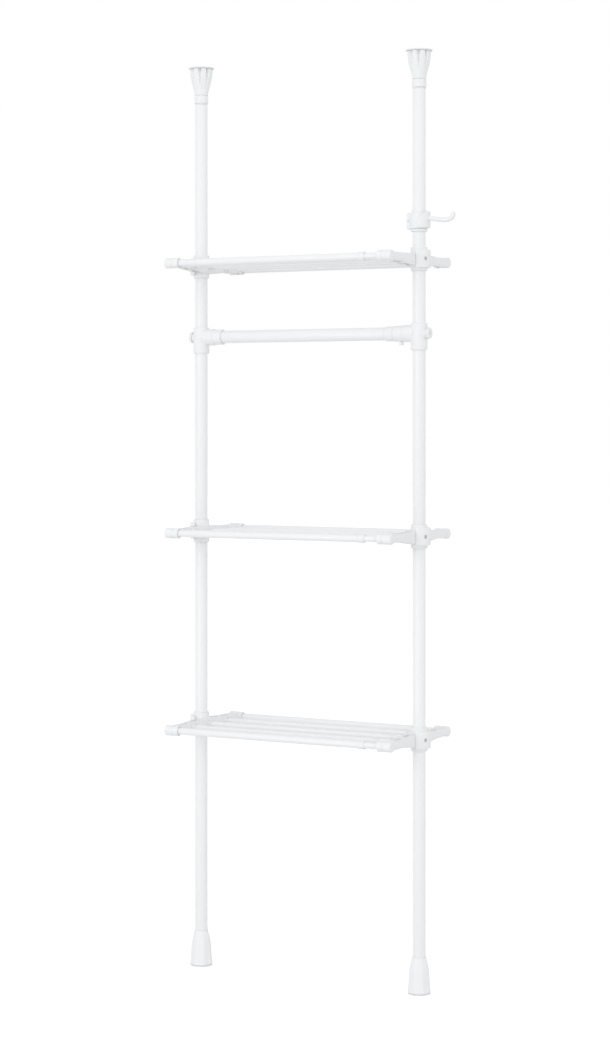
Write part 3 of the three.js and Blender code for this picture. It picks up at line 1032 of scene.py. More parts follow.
@dataclass(frozen=True)
class Places:
    """Where the sub-assemblies stand.

    Attributes:
        right_pole: the right pole's distance from the left one.
        pole_radius: the poles' outer radius.
        shelves: the height of each shelf's middle.
        rail_offset: the rails' distance from the poles' plane.
        bar: the height of the hanging bar's axis.
        hook: the height of the hook's middle.
    """

    right_pole: float
    pole_radius: float
    shelves: dict[str, float]
    rail_offset: float
    bar: float
    hook: float

    @classmethod
    def from_frame(cls) -> "Places":
        """Reads the places from the CAD nodes' boxes.

        Returns:
            The places.
        """
        return cls(
            right_pole=CadPiece("foot_pad_right").centre.x,
            pole_radius=CadPiece("pole_lower_left").span.x / 2,
            shelves={
                shelf: CadPiece(f"{shelf}_shelf_arm_left").centre.z
                for shelf in ("top", "middle", "bottom")
            },
            rail_offset=CadPiece("top_shelf_sleeve_back").centre.y,
            bar=CadPiece("bar_outer_tube").centre.z,
            hook=CadPiece("hook_liner").centre.z,
        )

    @property
    def middle(self) -> float:
        """Where the plane stands that mirrors one side onto the other."""
        return self.right_pole / 2

    @property
    def seat(self) -> float:
        """The radius of every bore that a pole passes through."""
        return self.pole_radius + GAP


def flowing(points: Sequence[tuple[float, float]]) -> list[tuple[float, float]]:
    """Draws a smooth line through points.

    Args:
        points: pairs of a rise and a share.

    Returns:
        The pairs along the line, the given ones among them.
    """
    ends = [points[0], *points, points[-1]]
    drawn = []
    for before, start, end, after in zip(ends, ends[1:], ends[2:], ends[3:]):
        for step in range(CURVE_STEPS):
            t = step / CURVE_STEPS
            pair = []
            for axis in range(2):
                a, b, c, d = before[axis], start[axis], end[axis], after[axis]
                curve = 2 * b + (c - a) * t + (2 * a - 5 * b + 4 * c - d) * t**2
                pair.append((curve + (3 * b - 3 * c + d - a) * t**3) / 2)
            drawn.append((pair[0], pair[1]))
    return [*drawn, points[-1]]


@dataclass
class Assembly(ABC):
    """A sub-assembly of the unit, with what it is built by.

    Attributes:
        bench: the modelling moves.
        finishes: the materials.
        places: where the sub-assemblies stand.
    """

    bench: Bench
    finishes: Finishes
    places: Places

    @abstractmethod
    def build(self) -> None:
        """Builds the pieces and hands them over."""

    def stand_in(
        self, form: bpy.types.Object, node: str, slot: Slot, body: str, word: str = "form"
    ) -> None:
        """Hands a form over as the piece that stands for one CAD node.

        Args:
            form: the form in its place.
            node: the node's name, with which the piece's name begins.
            slot: the slot of its finish.
            body: the CAD body that it rides on.
            word: what the piece's name ends in.
        """
        self.finishes.hand_over(form, f"{node}_{word}", slot, body, node)

    def stand_in_pair(
        self,
        left: bpy.types.Object,
        right: bpy.types.Object,
        node: str,
        slot: Slot,
        body: str,
        word: str = "form",
    ) -> None:
        """Hands over the left pole's form and the right pole's.

        Args:
            left: the form on the left pole.
            right: the form on the right pole.
            node: the nodes' name, before the side's.
            slot: the slot of their finish.
            body: the CAD bodies' name, after the side's.
            word: what the pieces' names end in.
        """
        for side, form in ((Side.LEFT, left), (Side.RIGHT, right)):
            self.stand_in(form, f"{node}_{side.value}", slot, f"{side.value}_{body}", word)

    def stand_in_at_shelves(
        self, slot: Slot, *forms: tuple[bpy.types.Object, str, Side]
    ) -> None:
        """Sets copies of forms at each shelf, hands them over and scraps the forms.

        Args:
            slot: the slot of their finish.
            forms: each form with its middle at the height of zero, its nodes' name after the
                shelf's, and the side whose half of the shelf it rides on.
        """
        for shelf, height in self.places.shelves.items():
            for form, node, side in forms:
                piece = self.bench.copied(form, (0, 0, height))
                self.stand_in(piece, f"{shelf}_shelf_{node}", slot, f"{shelf}_shelf_{side.value}")
        for form, _, _ in forms:
            self.bench.scrap(form)


@dataclass
class Poles(Assembly):
    """The two poles, each of two painted tubes over an inner spigot."""

    def build(self) -> None:
        """Builds both tubes of both poles, and dresses the spigots."""
        for length in ("lower", "upper"):
            cad = CadPiece(f"pole_{length}_left")
            left = self.bench.tube(self.places.pole_radius, cad.low.z, cad.high.z, Sides.POLE)
            right = self.bench.copied(left, (self.places.right_pole, 0, 0))
            self.stand_in_pair(left, right, f"pole_{length}", Slot.PAINTED_STEEL, "pole", "tube")
        for side in Side:
            self.finishes.dress(f"pole_spigot_{side.value}", Slot.ZINC_STEEL)


@dataclass
class Feet(Assembly):
    """The bell feet with their soft pads."""

    top_radius: float = 17.5 * MM
    socket_depth: float = 72 * MM
    lip_radius: float = 0.9 * MM
    scallop_depth: float = 1.8 * MM
    scallops: Hollows = Hollows(count=8, steps=14)
    bell_shares: tuple[tuple[float, float], ...] = (
        (0, 1), (0.15, 0.93), (0.3, 0.83), (0.58, 0.69), (0.78, 0.43), (0.92, 0.14), (1, 0),
    )
    pad_edge: float = 0.8 * MM
    pad_groove: float = 0.5 * MM

    def build(self) -> None:
        """Builds both feet and both pads."""
        for maker, node, slot in (
            (self.bell, "foot", Slot.WHITE_PLASTIC),
            (self.pad, "foot_pad", Slot.PALE_RUBBER),
        ):
            left = maker(CadPiece(f"{node}_left"))
            right = self.bench.mirrored(left, self.places.middle)
            self.stand_in_pair(left, right, node, slot, "pole")

    def bell(self, cad: CadPiece) -> bpy.types.Object:
        """Turns a bell with scallops that fade towards its top, round a deep socket.

        Args:
            cad: the foot's box.

        Returns:
            The bell.
        """
        radius, height = cad.span.x / 2, cad.span.z
        low, top = cad.low.z, cad.high.z
        rings = [
            Ring(radius - 2 * self.lip_radius, low),
            Ring(radius, low + self.lip_radius, self.scallop_depth),
        ]
        for rise, share in flowing(self.bell_shares)[1:-1]:
            level = self.top_radius + (radius - self.top_radius) * share
            rings.append(Ring(level, low + rise * height, self.scallop_depth * share))
        rings += [
            *Ring(self.top_radius, top).top_lip(self.lip_radius),
            Ring(self.places.seat, top),
            Ring(self.places.seat, top - self.socket_depth),
        ]
        return self.bench.turned(rings, hollows=self.scallops)

    def pad(self, cad: CadPiece) -> bpy.types.Object:
        """Turns a flat pad with a rounded lower edge and a groove round its side.

        Args:
            cad: the pad's box.

        Returns:
            The pad.
        """
        radius, middle, groove = cad.span.x / 2, cad.centre.z, self.pad_groove
        rings = [
            *Ring(radius, 0).foot_lip(self.pad_edge, FULL_LIP_SETBACK_SHARE),
            Ring(radius, middle - groove / 2),
            Ring(radius - groove, middle),
            Ring(radius, middle + groove / 2),
            Ring(radius, cad.high.z),
        ]
        return self.bench.turned(rings, Sides.PAD)


@dataclass
class ScrewJacks(Assembly):
    """The fluted ceiling caps on their threaded stems, with the adjuster rings and sockets."""

    neck_radius: float = 17 * MM
    flare_height: float = 65 * MM
    rim_height: float = 3 * MM
    rim_edge: float = 0.7 * MM
    flutes: Hollows = Hollows(count=8, steps=14, sharp=True)
    flute_depth: float = 9 * MM
    flute_start_share: float = 0.34
    flute_width_share: float = 0.6
    flare_shares: tuple[tuple[float, float], ...] = (
        (0, 0), (0.2, 0.16), (0.34, 0.37), (0.5, 0.6), (0.67, 0.81), (0.85, 0.95), (1, 1),
    )
    stem_radius: float = 7 * MM
    thread_depth: float = 0.9 * MM
    thread_pitch: float = 4 * MM
    thread_shares: tuple[tuple[float, float], ...] = ((0, 0.3), (1, 0.5), (1, 0.8), (0, 1))
    thread_steps: int = 28
    bore_radius: float = 7.3 * MM
    grips: Hollows = Hollows(count=12, steps=8)
    grip_depth: float = 0.8 * MM
    ring_edge: float = 1.2 * MM
    flange_height: float = 3 * MM
    pad_edge: float = 0.8 * MM

    def build(self) -> None:
        """Builds the pieces of both jacks."""
        for maker, node, slot, body in (
            (self.cap, "ceiling_cap", Slot.WHITE_PLASTIC, "cap"),
            (self.pad, "ceiling_pad", Slot.PALE_RUBBER, "cap"),
            (self.ring, "adjuster_ring", Slot.WHITE_PLASTIC, "ring"),
            (self.socket, "jack_socket", Slot.WHITE_PLASTIC, "pole"),
        ):
            left = maker(CadPiece(f"{node}_left"))
            right = self.bench.copied(left, (self.places.right_pole, 0, 0))
            self.stand_in_pair(left, right, node, slot, body)

    def cap(self, cad: CadPiece) -> bpy.types.Object:
        """Turns the trumpet, whose V flutes open towards the rim, and screws its stem in.

        Args:
            cad: the cap's box, stem and all.

        Returns:
            The cap.
        """
        rim, top = cad.span.x / 2, cad.high.z
        neck = top - self.rim_height - self.flare_height
        rings = [Ring(self.neck_radius - self.rim_edge, neck)]
        for rise, share in flowing(self.flare_shares):
            open_share = max(0.0, (rise - self.flute_start_share) / (1 - self.flute_start_share))
            radius = self.neck_radius + (rim - self.neck_radius) * share
            height = neck + rise * self.flare_height + (self.rim_edge if rise == 0 else 0)
            depth, width = self.flute_depth * open_share, self.flute_width_share * open_share
            rings.append(Ring(radius, height, depth, width))
        rim_ring = Ring(rim, top, self.flute_depth, self.flute_width_share)
        rings += rim_ring.top_lip(self.rim_edge)
        trumpet = self.bench.turned(rings, hollows=self.flutes)
        stem = self.stem(cad.low.z, neck + self.flare_height / 2)
        self.bench.pick(trumpet, stem)
        bpy.ops.object.join()
        return trumpet

    def stem(self, bottom: float, top: float) -> bpy.types.Object:
        """Winds a threaded stem with the Screw modifier.

        Args:
            bottom: where it begins.
            top: where it ends.

        Returns:
            The stem on the Z axis.
        """
        root, pitch = self.stem_radius - self.thread_depth, self.thread_pitch
        turns = math.floor((top - bottom) / pitch) - 1
        self.bench.clear()
        bpy.ops.mesh.primitive_plane_add(size=pitch)
        piece = bpy.context.object
        self.bench.open_for_editing(piece)
        bpy.ops.mesh.select_all(action="SELECT")
        bpy.ops.mesh.merge(type="CENTER")
        bpy.ops.transform.translate(value=(root, 0, bottom))
        last_radius, last_rise = root, 0.0
        for crest_share, rise in self.thread_shares:
            radius = root + self.thread_depth * crest_share
            move = (radius - last_radius, 0, (rise - last_rise) * pitch)
            bpy.ops.mesh.extrude_region_move(TRANSFORM_OT_translate={"value": move})
            last_radius, last_rise = radius, rise
        bpy.ops.object.mode_set(mode="OBJECT")
        bpy.ops.object.modifier_add(type="SCREW")
        screw = piece.modifiers[-1]
        screw.screw_offset = pitch
        screw.iterations = turns
        screw.steps = screw.render_steps = self.thread_steps
        screw.use_merge_vertices = True
        screw.merge_threshold = WELD
        bpy.ops.object.modifier_apply(modifier=screw.name)
        self.bench.open_for_editing(piece)
        bpy.ops.mesh.select_all(action="SELECT")
        bpy.ops.mesh.remove_doubles(threshold=WELD)
        bpy.ops.mesh.fill_holes(sides=0)
        self.bench.close_up(piece)
        return piece

    def ring(self, cad: CadPiece) -> bpy.types.Object:
        """Turns the adjuster ring, with grips round it and a bore with bevelled mouths.

        Args:
            cad: the ring's box.

        Returns:
            The ring.
        """
        radius, low, high = cad.span.x / 2, cad.low.z, cad.high.z
        edge, depth = self.ring_edge, self.grip_depth
        rings = [
            Ring(self.bore_radius + edge / 2, low),
            Ring(radius - edge / 2, low, depth),
            Ring(radius, low + edge / 2, depth),
            *Ring(radius, high, depth).top_lip(edge),
            Ring(self.bore_radius + edge / 2, high),
            Ring(self.bore_radius, high - edge / 2),
            Ring(self.bore_radius, low + edge / 2),
        ]
        return self.bench.turned(rings, hollows=self.grips, bored=True)

    def socket(self, cad: CadPiece) -> bpy.types.Object:
        """Turns the flanged plug that carries the stem in the pole's end.

        Args:
            cad: the socket's box.

        Returns:
            The socket.
        """
        plug = self.places.pole_radius - TUBE_WALL - GAP
        low, top, flange = cad.low.z, cad.high.z, cad.high.z - self.flange_height
        radius, edge = self.places.pole_radius, self.rim_edge
        rings = [
            Ring(self.bore_radius, low),
            Ring(plug - edge, low),
            Ring(plug, low + edge),
            Ring(plug, flange),
            Ring(radius - edge / 2, flange),
            Ring(radius, flange + edge / 2),
            Ring(radius, top - edge / 2),
            Ring(radius - edge / 2, top),
            Ring(self.bore_radius, top),
        ]
        return self.bench.turned(rings, Sides.COLLAR, bored=True)

    def pad(self, cad: CadPiece) -> bpy.types.Object:
        """Turns the thin disc that presses on the ceiling.

        Args:
            cad: the pad's box.

        Returns:
            The pad.
        """
        radius = cad.span.x / 2
        rings = [
            *Ring(radius, cad.low.z).foot_lip(self.pad_edge, FULL_LIP_SETBACK_SHARE),
            *Ring(radius, cad.high.z).top_lip(self.pad_edge, FULL_LIP_SETBACK_SHARE),
        ]
        return self.bench.turned(rings, Sides.PAD)


@dataclass
class ShelfArms(Assembly):
    """The comb-like end arms of the shelves, with their clamps and screws."""

    lobe_radius: float = 13 * MM
    lobe_outer_reach: float = 6 * MM
    outer_reach: float = 4 * MM
    socket_reach: float = 32 * MM
    socket_depth: float = 12 * MM
    finger_length: float = 8 * MM
    finger_radius: float = 8.2 * MM
    end_height: float = 20 * MM
    middle_rise: float = 14 * MM
    middle_drop: float = 18 * MM
    taper_share: float = 0.62
    beam_edge: float = 1.5 * MM
    lobe_edge: float = 2 * MM
    lobe_edge_steps: int = 4
    groove_place: float = 15 * MM
    groove_width: float = 4 * MM
    groove_depth: float = 1.2 * MM
    mouth_edge: float = 0.6 * MM
    pocket_length: float = 40 * MM
    pocket_pitch: float = 50 * MM
    pocket_width: float = 13 * MM
    pocket_wall: float = 4 * MM
    collar_wall: float = 4.2 * MM
    collar_height: float = 58 * MM
    collar_edge: float = 1 * MM
    rail_radius: float = 9 * MM
    slat_radius: float = 6.5 * MM
    slat_count: int = 3
    tie_thickness: float = 3 * MM
    tie_height: float = 8 * MM
    clamp_thickness: float = 7.6 * MM
    clamp_height: float = 43 * MM
    clamp_spread: float = math.radians(176)
    clamp_edge: float = 1 * MM
    screw_lean: float = math.radians(30)
    screw_recess: float = 5 * MM
    screw_sizes: DomedScrew = DomedScrew(
        shank_radius=2.5 * MM, head_radius=4.2 * MM, head_height=3.2 * MM, cross_size=4.6 * MM
    )

    @property
    def collar_radius(self) -> float:
        """The collar's outer radius."""
        return self.places.seat + self.collar_wall

    @property
    def clamp_outer(self) -> float:
        """The clamp's outer radius."""
        return self.collar_radius + GAP + self.clamp_thickness

    @property
    def slat_offsets(self) -> list[float]:
        """Where the slats lie between the rails.

        Returns:
            Their offsets from the poles' plane, from front to back.
        """
        rail = self.places.rail_offset
        pitch = 2 * rail / (self.slat_count + 1)
        return [(index + 1) * pitch - rail for index in range(self.slat_count)]

    def build(self) -> None:
        """Builds one arm, clamp and screw, and sets copies on both poles at each shelf."""
        for maker, node, slot in (
            (self.arm, "arm", Slot.WHITE_PLASTIC),
            (self.clamp, "clamp", Slot.WHITE_PLASTIC),
            (self.screw, "screw", Slot.ZINC_STEEL),
        ):
            left = maker()
            right = self.bench.mirrored(left, self.places.middle)
            self.stand_in_at_shelves(
                slot, (left, f"{node}_left", Side.LEFT), (right, f"{node}_right", Side.RIGHT)
            )

    def beam(self) -> bpy.types.Object:
        """Draws a block out both ways along the arm, and narrows it towards its ends.

        Returns:
            The beam, with the pipes' axes at the height of zero.
        """
        rise, drop = self.middle_rise, self.middle_drop
        inner_face = self.socket_reach - self.finger_length
        taper = self.places.rail_offset * self.taper_share
        piece = self.bench.block(
            (-self.outer_reach, -self.collar_radius, -drop), (inner_face, self.collar_radius, rise)
        )
        scale = self.end_height / (rise + drop)
        still = (self.end_height / 2 - rise * scale) / (1 - scale)
        for way in (-1, 1):
            face = way * self.collar_radius
            self.bench.open_for_editing(piece)
            self.bench.select_corners(piece, lambda corner, y=face: abs(corner.y - y) < WELD)
            self.draw_out(way * (taper - self.collar_radius))
            bpy.ops.transform.resize(value=(1, 1, scale), center_override=(0, 0, still))
            self.draw_out(way * (self.places.rail_offset - taper))
            bpy.ops.object.mode_set(mode="OBJECT")
        return self.bench.rounded(piece, self.beam_edge)

    def draw_out(self, reach: float) -> None:
        """Extrudes, in edit mode, the selected face along Y."""
        bpy.ops.mesh.extrude_region_move(TRANSFORM_OT_translate={"value": (0, reach, 0)})

    def lobe(self, offset: float) -> bpy.types.Object:
        """Turns the round end of the arm, which holds a rail, with a shallow groove round it.

        Args:
            offset: where the rail lies.

        Returns:
            The lobe, along X.
        """
        radius, edge, mouth = self.lobe_radius, self.lobe_edge, self.mouth_edge
        start, depth = -self.lobe_outer_reach, self.groove_depth
        rings = []
        for step in range(self.lobe_edge_steps + 1):
            angle = QUARTER_TURN * step / self.lobe_edge_steps
            rings.append(
                Ring(radius - edge + edge * math.sin(angle), start + edge - edge * math.cos(angle))
            )
        near, far = self.groove_place, self.groove_place + self.groove_width
        rings += [
            Ring(radius, near - depth / 2),
            Ring(radius - depth, near),
            Ring(radius - depth, far),
            Ring(radius, far + depth / 2),
            Ring(radius, self.socket_reach - mouth),
            Ring(radius - mouth, self.socket_reach),
        ]
        return self.in_line(rings, Sides.LOBE, offset)

    def in_line(self, rings: Sequence[Ring], sides: int, offset: float) -> bpy.types.Object:
        """Turns a form and lays it along X, in line with a pipe."""
        return self.bench.along_x(self.bench.turned(rings, sides), (0, offset, 0))

    def finger(self, offset: float) -> bpy.types.Object:
        """Turns the socket that holds a slat.

        Args:
            offset: where the slat lies.

        Returns:
            The socket, along X.
        """
        radius, mouth = self.finger_radius, self.mouth_edge
        rings = [
            Ring(radius, self.outer_reach),
            Ring(radius, self.socket_reach - mouth),
            Ring(radius - mouth, self.socket_reach),
        ]
        return self.in_line(rings, Sides.PIPE, offset)

    def pipe_hole(self, radius: float, offset: float) -> bpy.types.Object:
        """Makes the cutter of a pipe's socket, with a bevelled mouth.

        Args:
            radius: the pipe's radius.
            offset: where the pipe lies.

        Returns:
            The cutter, along X.
        """
        start = self.socket_reach - self.socket_depth - GAP
        seat, mouth = radius + GAP, self.mouth_edge
        rings = [
            Ring(seat, start),
            Ring(seat, self.socket_reach - mouth),
            Ring(seat + mouth + OVERRUN, self.socket_reach + OVERRUN),
        ]
        return self.in_line(rings, Sides.PIPE, offset)

    def pocket(self, way: int, number: int) -> bpy.types.Object:
        """Makes the cutter of an open pocket beside the collar.

        Args:
            way: 1 for a back one and -1 for a front one.
            number: 0 for the one next to the collar and 1 for the one beyond it.

        Returns:
            The cutter.
        """
        half = self.pocket_width / 2
        across = self.socket_reach - self.socket_depth - self.pocket_wall - half
        near = self.collar_radius + self.pocket_wall + half + number * self.pocket_pitch
        run = self.pocket_length - self.pocket_width
        piece = self.bench.stadium(half, run, -self.collar_height, self.collar_height)
        start = near if way > 0 else -near - run
        return self.bench.lay(piece, place=(across, start, 0))

    def collar(self) -> bpy.types.Object:
        """Turns the collar's outside, with rounded edges.

        Returns:
            The collar, not bored yet.
        """
        radius, half, edge = self.collar_radius, self.collar_height / 2, self.collar_edge
        rings = [*Ring(radius, -half).foot_lip(edge), *Ring(radius, half).top_lip(edge)]
        return self.bench.turned(rings, Sides.COLLAR)

    def leant(self, piece: bpy.types.Object) -> bpy.types.Object:
        """Turns an upright form to the way that the clamp screws point, out and to the front."""
        self.bench.along_x(piece)
        return self.bench.lay(piece, turn=(0, 0, math.pi + self.screw_lean))

    def arm(self) -> bpy.types.Object:
        """Fuses the arm of its forms and cuts the pole's bore, the sockets and the pockets.

        Returns:
            The left arm.
        """
        rail = self.places.rail_offset
        piece = self.beam()
        self.bench.fused(piece, self.collar())
        for offset in (-rail, rail):
            self.bench.fused(piece, self.lobe(offset))
        for offset in self.slat_offsets:
            self.bench.fused(piece, self.finger(offset))
        bore = self.bench.rod(
            self.places.seat, -self.collar_height, self.collar_height, Sides.COLLAR
        )
        pockets = [self.pocket(way, number) for way in (-1, 1) for number in (0, 1)]
        self.bench.cut(piece, bore, *pockets)
        for offset in (-rail, rail):
            self.bench.cut(piece, self.pipe_hole(self.rail_radius, offset))
        for offset in self.slat_offsets:
            self.bench.cut(piece, self.pipe_hole(self.slat_radius, offset))
        start = self.socket_reach - self.socket_depth
        channel = self.bench.block(
            (start - GAP, -rail - GAP, -self.lobe_radius - OVERRUN),
            (start + self.tie_thickness + GAP, rail + GAP, self.tie_height / 2 + GAP),
        )
        hole = self.screw_hole(self.places.pole_radius / 2, self.collar_radius)
        return self.bench.cut(piece, channel, hole)

    def screw_hole(self, start: float, end: float) -> bpy.types.Object:
        """Makes the cutter of the clamp screw's hole.

        Args:
            start: where it begins, inside a bore.
            end: the radius of the face that it comes out of.

        Returns:
            The cutter, the way that the screw points.
        """
        radius = self.screw_sizes.shank_radius + GAP
        return self.leant(self.bench.rod(radius, start, end + OVERRUN, Sides.HOLE))

    def clamp(self) -> bpy.types.Object:
        """Spins the clamp's shell, ends it at the arm's face and sinks the screw's recess in it.

        Returns:
            The left clamp.
        """
        inner, outer = self.collar_radius + GAP, self.clamp_outer
        shell = self.bench.swept(inner, outer, self.clamp_height / 2, self.clamp_spread, math.pi)
        end = self.bench.block(
            (-self.outer_reach - GAP, -2 * outer, -self.clamp_height),
            (2 * outer, 2 * outer, self.clamp_height),
        )
        self.bench.rounded(self.bench.cut(shell, end), self.clamp_edge)
        head, mouth = self.screw_sizes.head_radius + GAP, self.mouth_edge
        rings = [
            Ring(head, outer - self.screw_recess),
            Ring(head, outer - mouth),
            Ring(head + mouth + OVERRUN, outer + OVERRUN),
        ]
        recess = self.leant(self.bench.turned(rings, Sides.SCREW))
        return self.bench.cut(shell, self.screw_hole(inner / 2, outer), recess)

    def screw(self) -> bpy.types.Object:
        """Turns the clamp's screw, whose head sits in the clamp's recess.

        Returns:
            The left screw.
        """
        seat = self.clamp_outer - self.screw_recess + GAP
        return self.leant(self.bench.domed_screw(self.screw_sizes, self.places.seat, seat))


@dataclass
class Decks(Assembly):
    """The shelves' telescoping pipes and the sleeves on their outer rails."""

    arms: ShelfArms
    inner_rail_radius: float = 7.5 * MM
    inner_slat_radius: float = 5 * MM
    sleeve_radius: float = 10.5 * MM
    sleeve_lip: float = 4 * MM
    sleeve_edge: float = 0.8 * MM
    tie_edge: float = 0.5 * MM

    def build(self) -> None:
        """Builds both decks and both sleeves once, and copies them to each shelf."""
        outer = CadPiece("top_shelf_outer_pipes")
        inner = CadPiece("top_shelf_inner_pipes")
        sleeve = CadPiece("top_shelf_sleeve_front")
        rail = self.places.rail_offset
        outer_deck = self.deck(outer, self.arms.rail_radius, self.arms.slat_radius, outer.low.x)
        inner_deck = self.deck(
            inner,
            self.inner_rail_radius,
            self.inner_slat_radius,
            inner.high.x - self.arms.tie_thickness,
        )
        made = (
            (outer_deck, "outer_pipes", Slot.PAINTED_STEEL, Side.LEFT),
            (inner_deck, "inner_pipes", Slot.PAINTED_STEEL, Side.RIGHT),
            (self.sleeve(sleeve, -rail), "sleeve_front", Slot.WHITE_PLASTIC, Side.LEFT),
            (self.sleeve(sleeve, rail), "sleeve_back", Slot.WHITE_PLASTIC, Side.LEFT),
        )
        for form, node, slot, side in made:
            self.stand_in_at_shelves(slot, (form, node, side))

    def deck(
        self, cad: CadPiece, rail_radius: float, slat_radius: float, tie_start: float
    ) -> bpy.types.Object:
        """Fuses two rails, the slats and the flat tie at their ends.

        Args:
            cad: the pipes' box.
            rail_radius: the rails' radius.
            slat_radius: the slats' radius.
            tie_start: where the tie begins.

        Returns:
            The deck.
        """
        rail = self.places.rail_offset
        half = self.arms.tie_height / 2
        tie = self.bench.block(
            (tie_start, -rail, -half), (tie_start + self.arms.tie_thickness, rail, half)
        )
        self.bench.rounded(tie, self.tie_edge)
        radii = {-rail: rail_radius, rail: rail_radius}
        radii.update({offset: slat_radius for offset in self.arms.slat_offsets})
        pipes = []
        for offset, radius in radii.items():
            pipe = self.bench.tube(radius, cad.low.x, cad.high.x, Sides.PIPE)
            pipes.append(self.bench.along_x(pipe, (0, offset, 0)))
        return self.bench.fused(tie, *pipes)

    def sleeve(self, cad: CadPiece, offset: float) -> bpy.types.Object:
        """Turns the sleeve that guides an inner rail out of an outer one.

        Args:
            cad: the sleeve's box.
            offset: where the rail lies.

        Returns:
            The sleeve, along X.
        """
        start, end, edge = cad.low.x, cad.high.x, self.sleeve_edge
        step = end - self.sleeve_lip + GAP
        seat, lip = self.arms.rail_radius + GAP, self.inner_rail_radius + GAP
        rings = [
            Ring(seat, start),
            *Ring(self.sleeve_radius, start).foot_lip(edge, FULL_LIP_SETBACK_SHARE),
            *Ring(self.sleeve_radius, end).top_lip(2 * edge, FULL_LIP_SETBACK_SHARE),
            Ring(lip, end),
            Ring(lip, step),
            Ring(seat, step),
        ]
        return self.bench.along_x(
            self.bench.turned(rings, Sides.SLEEVE, bored=True), (0, offset, 0)
        )


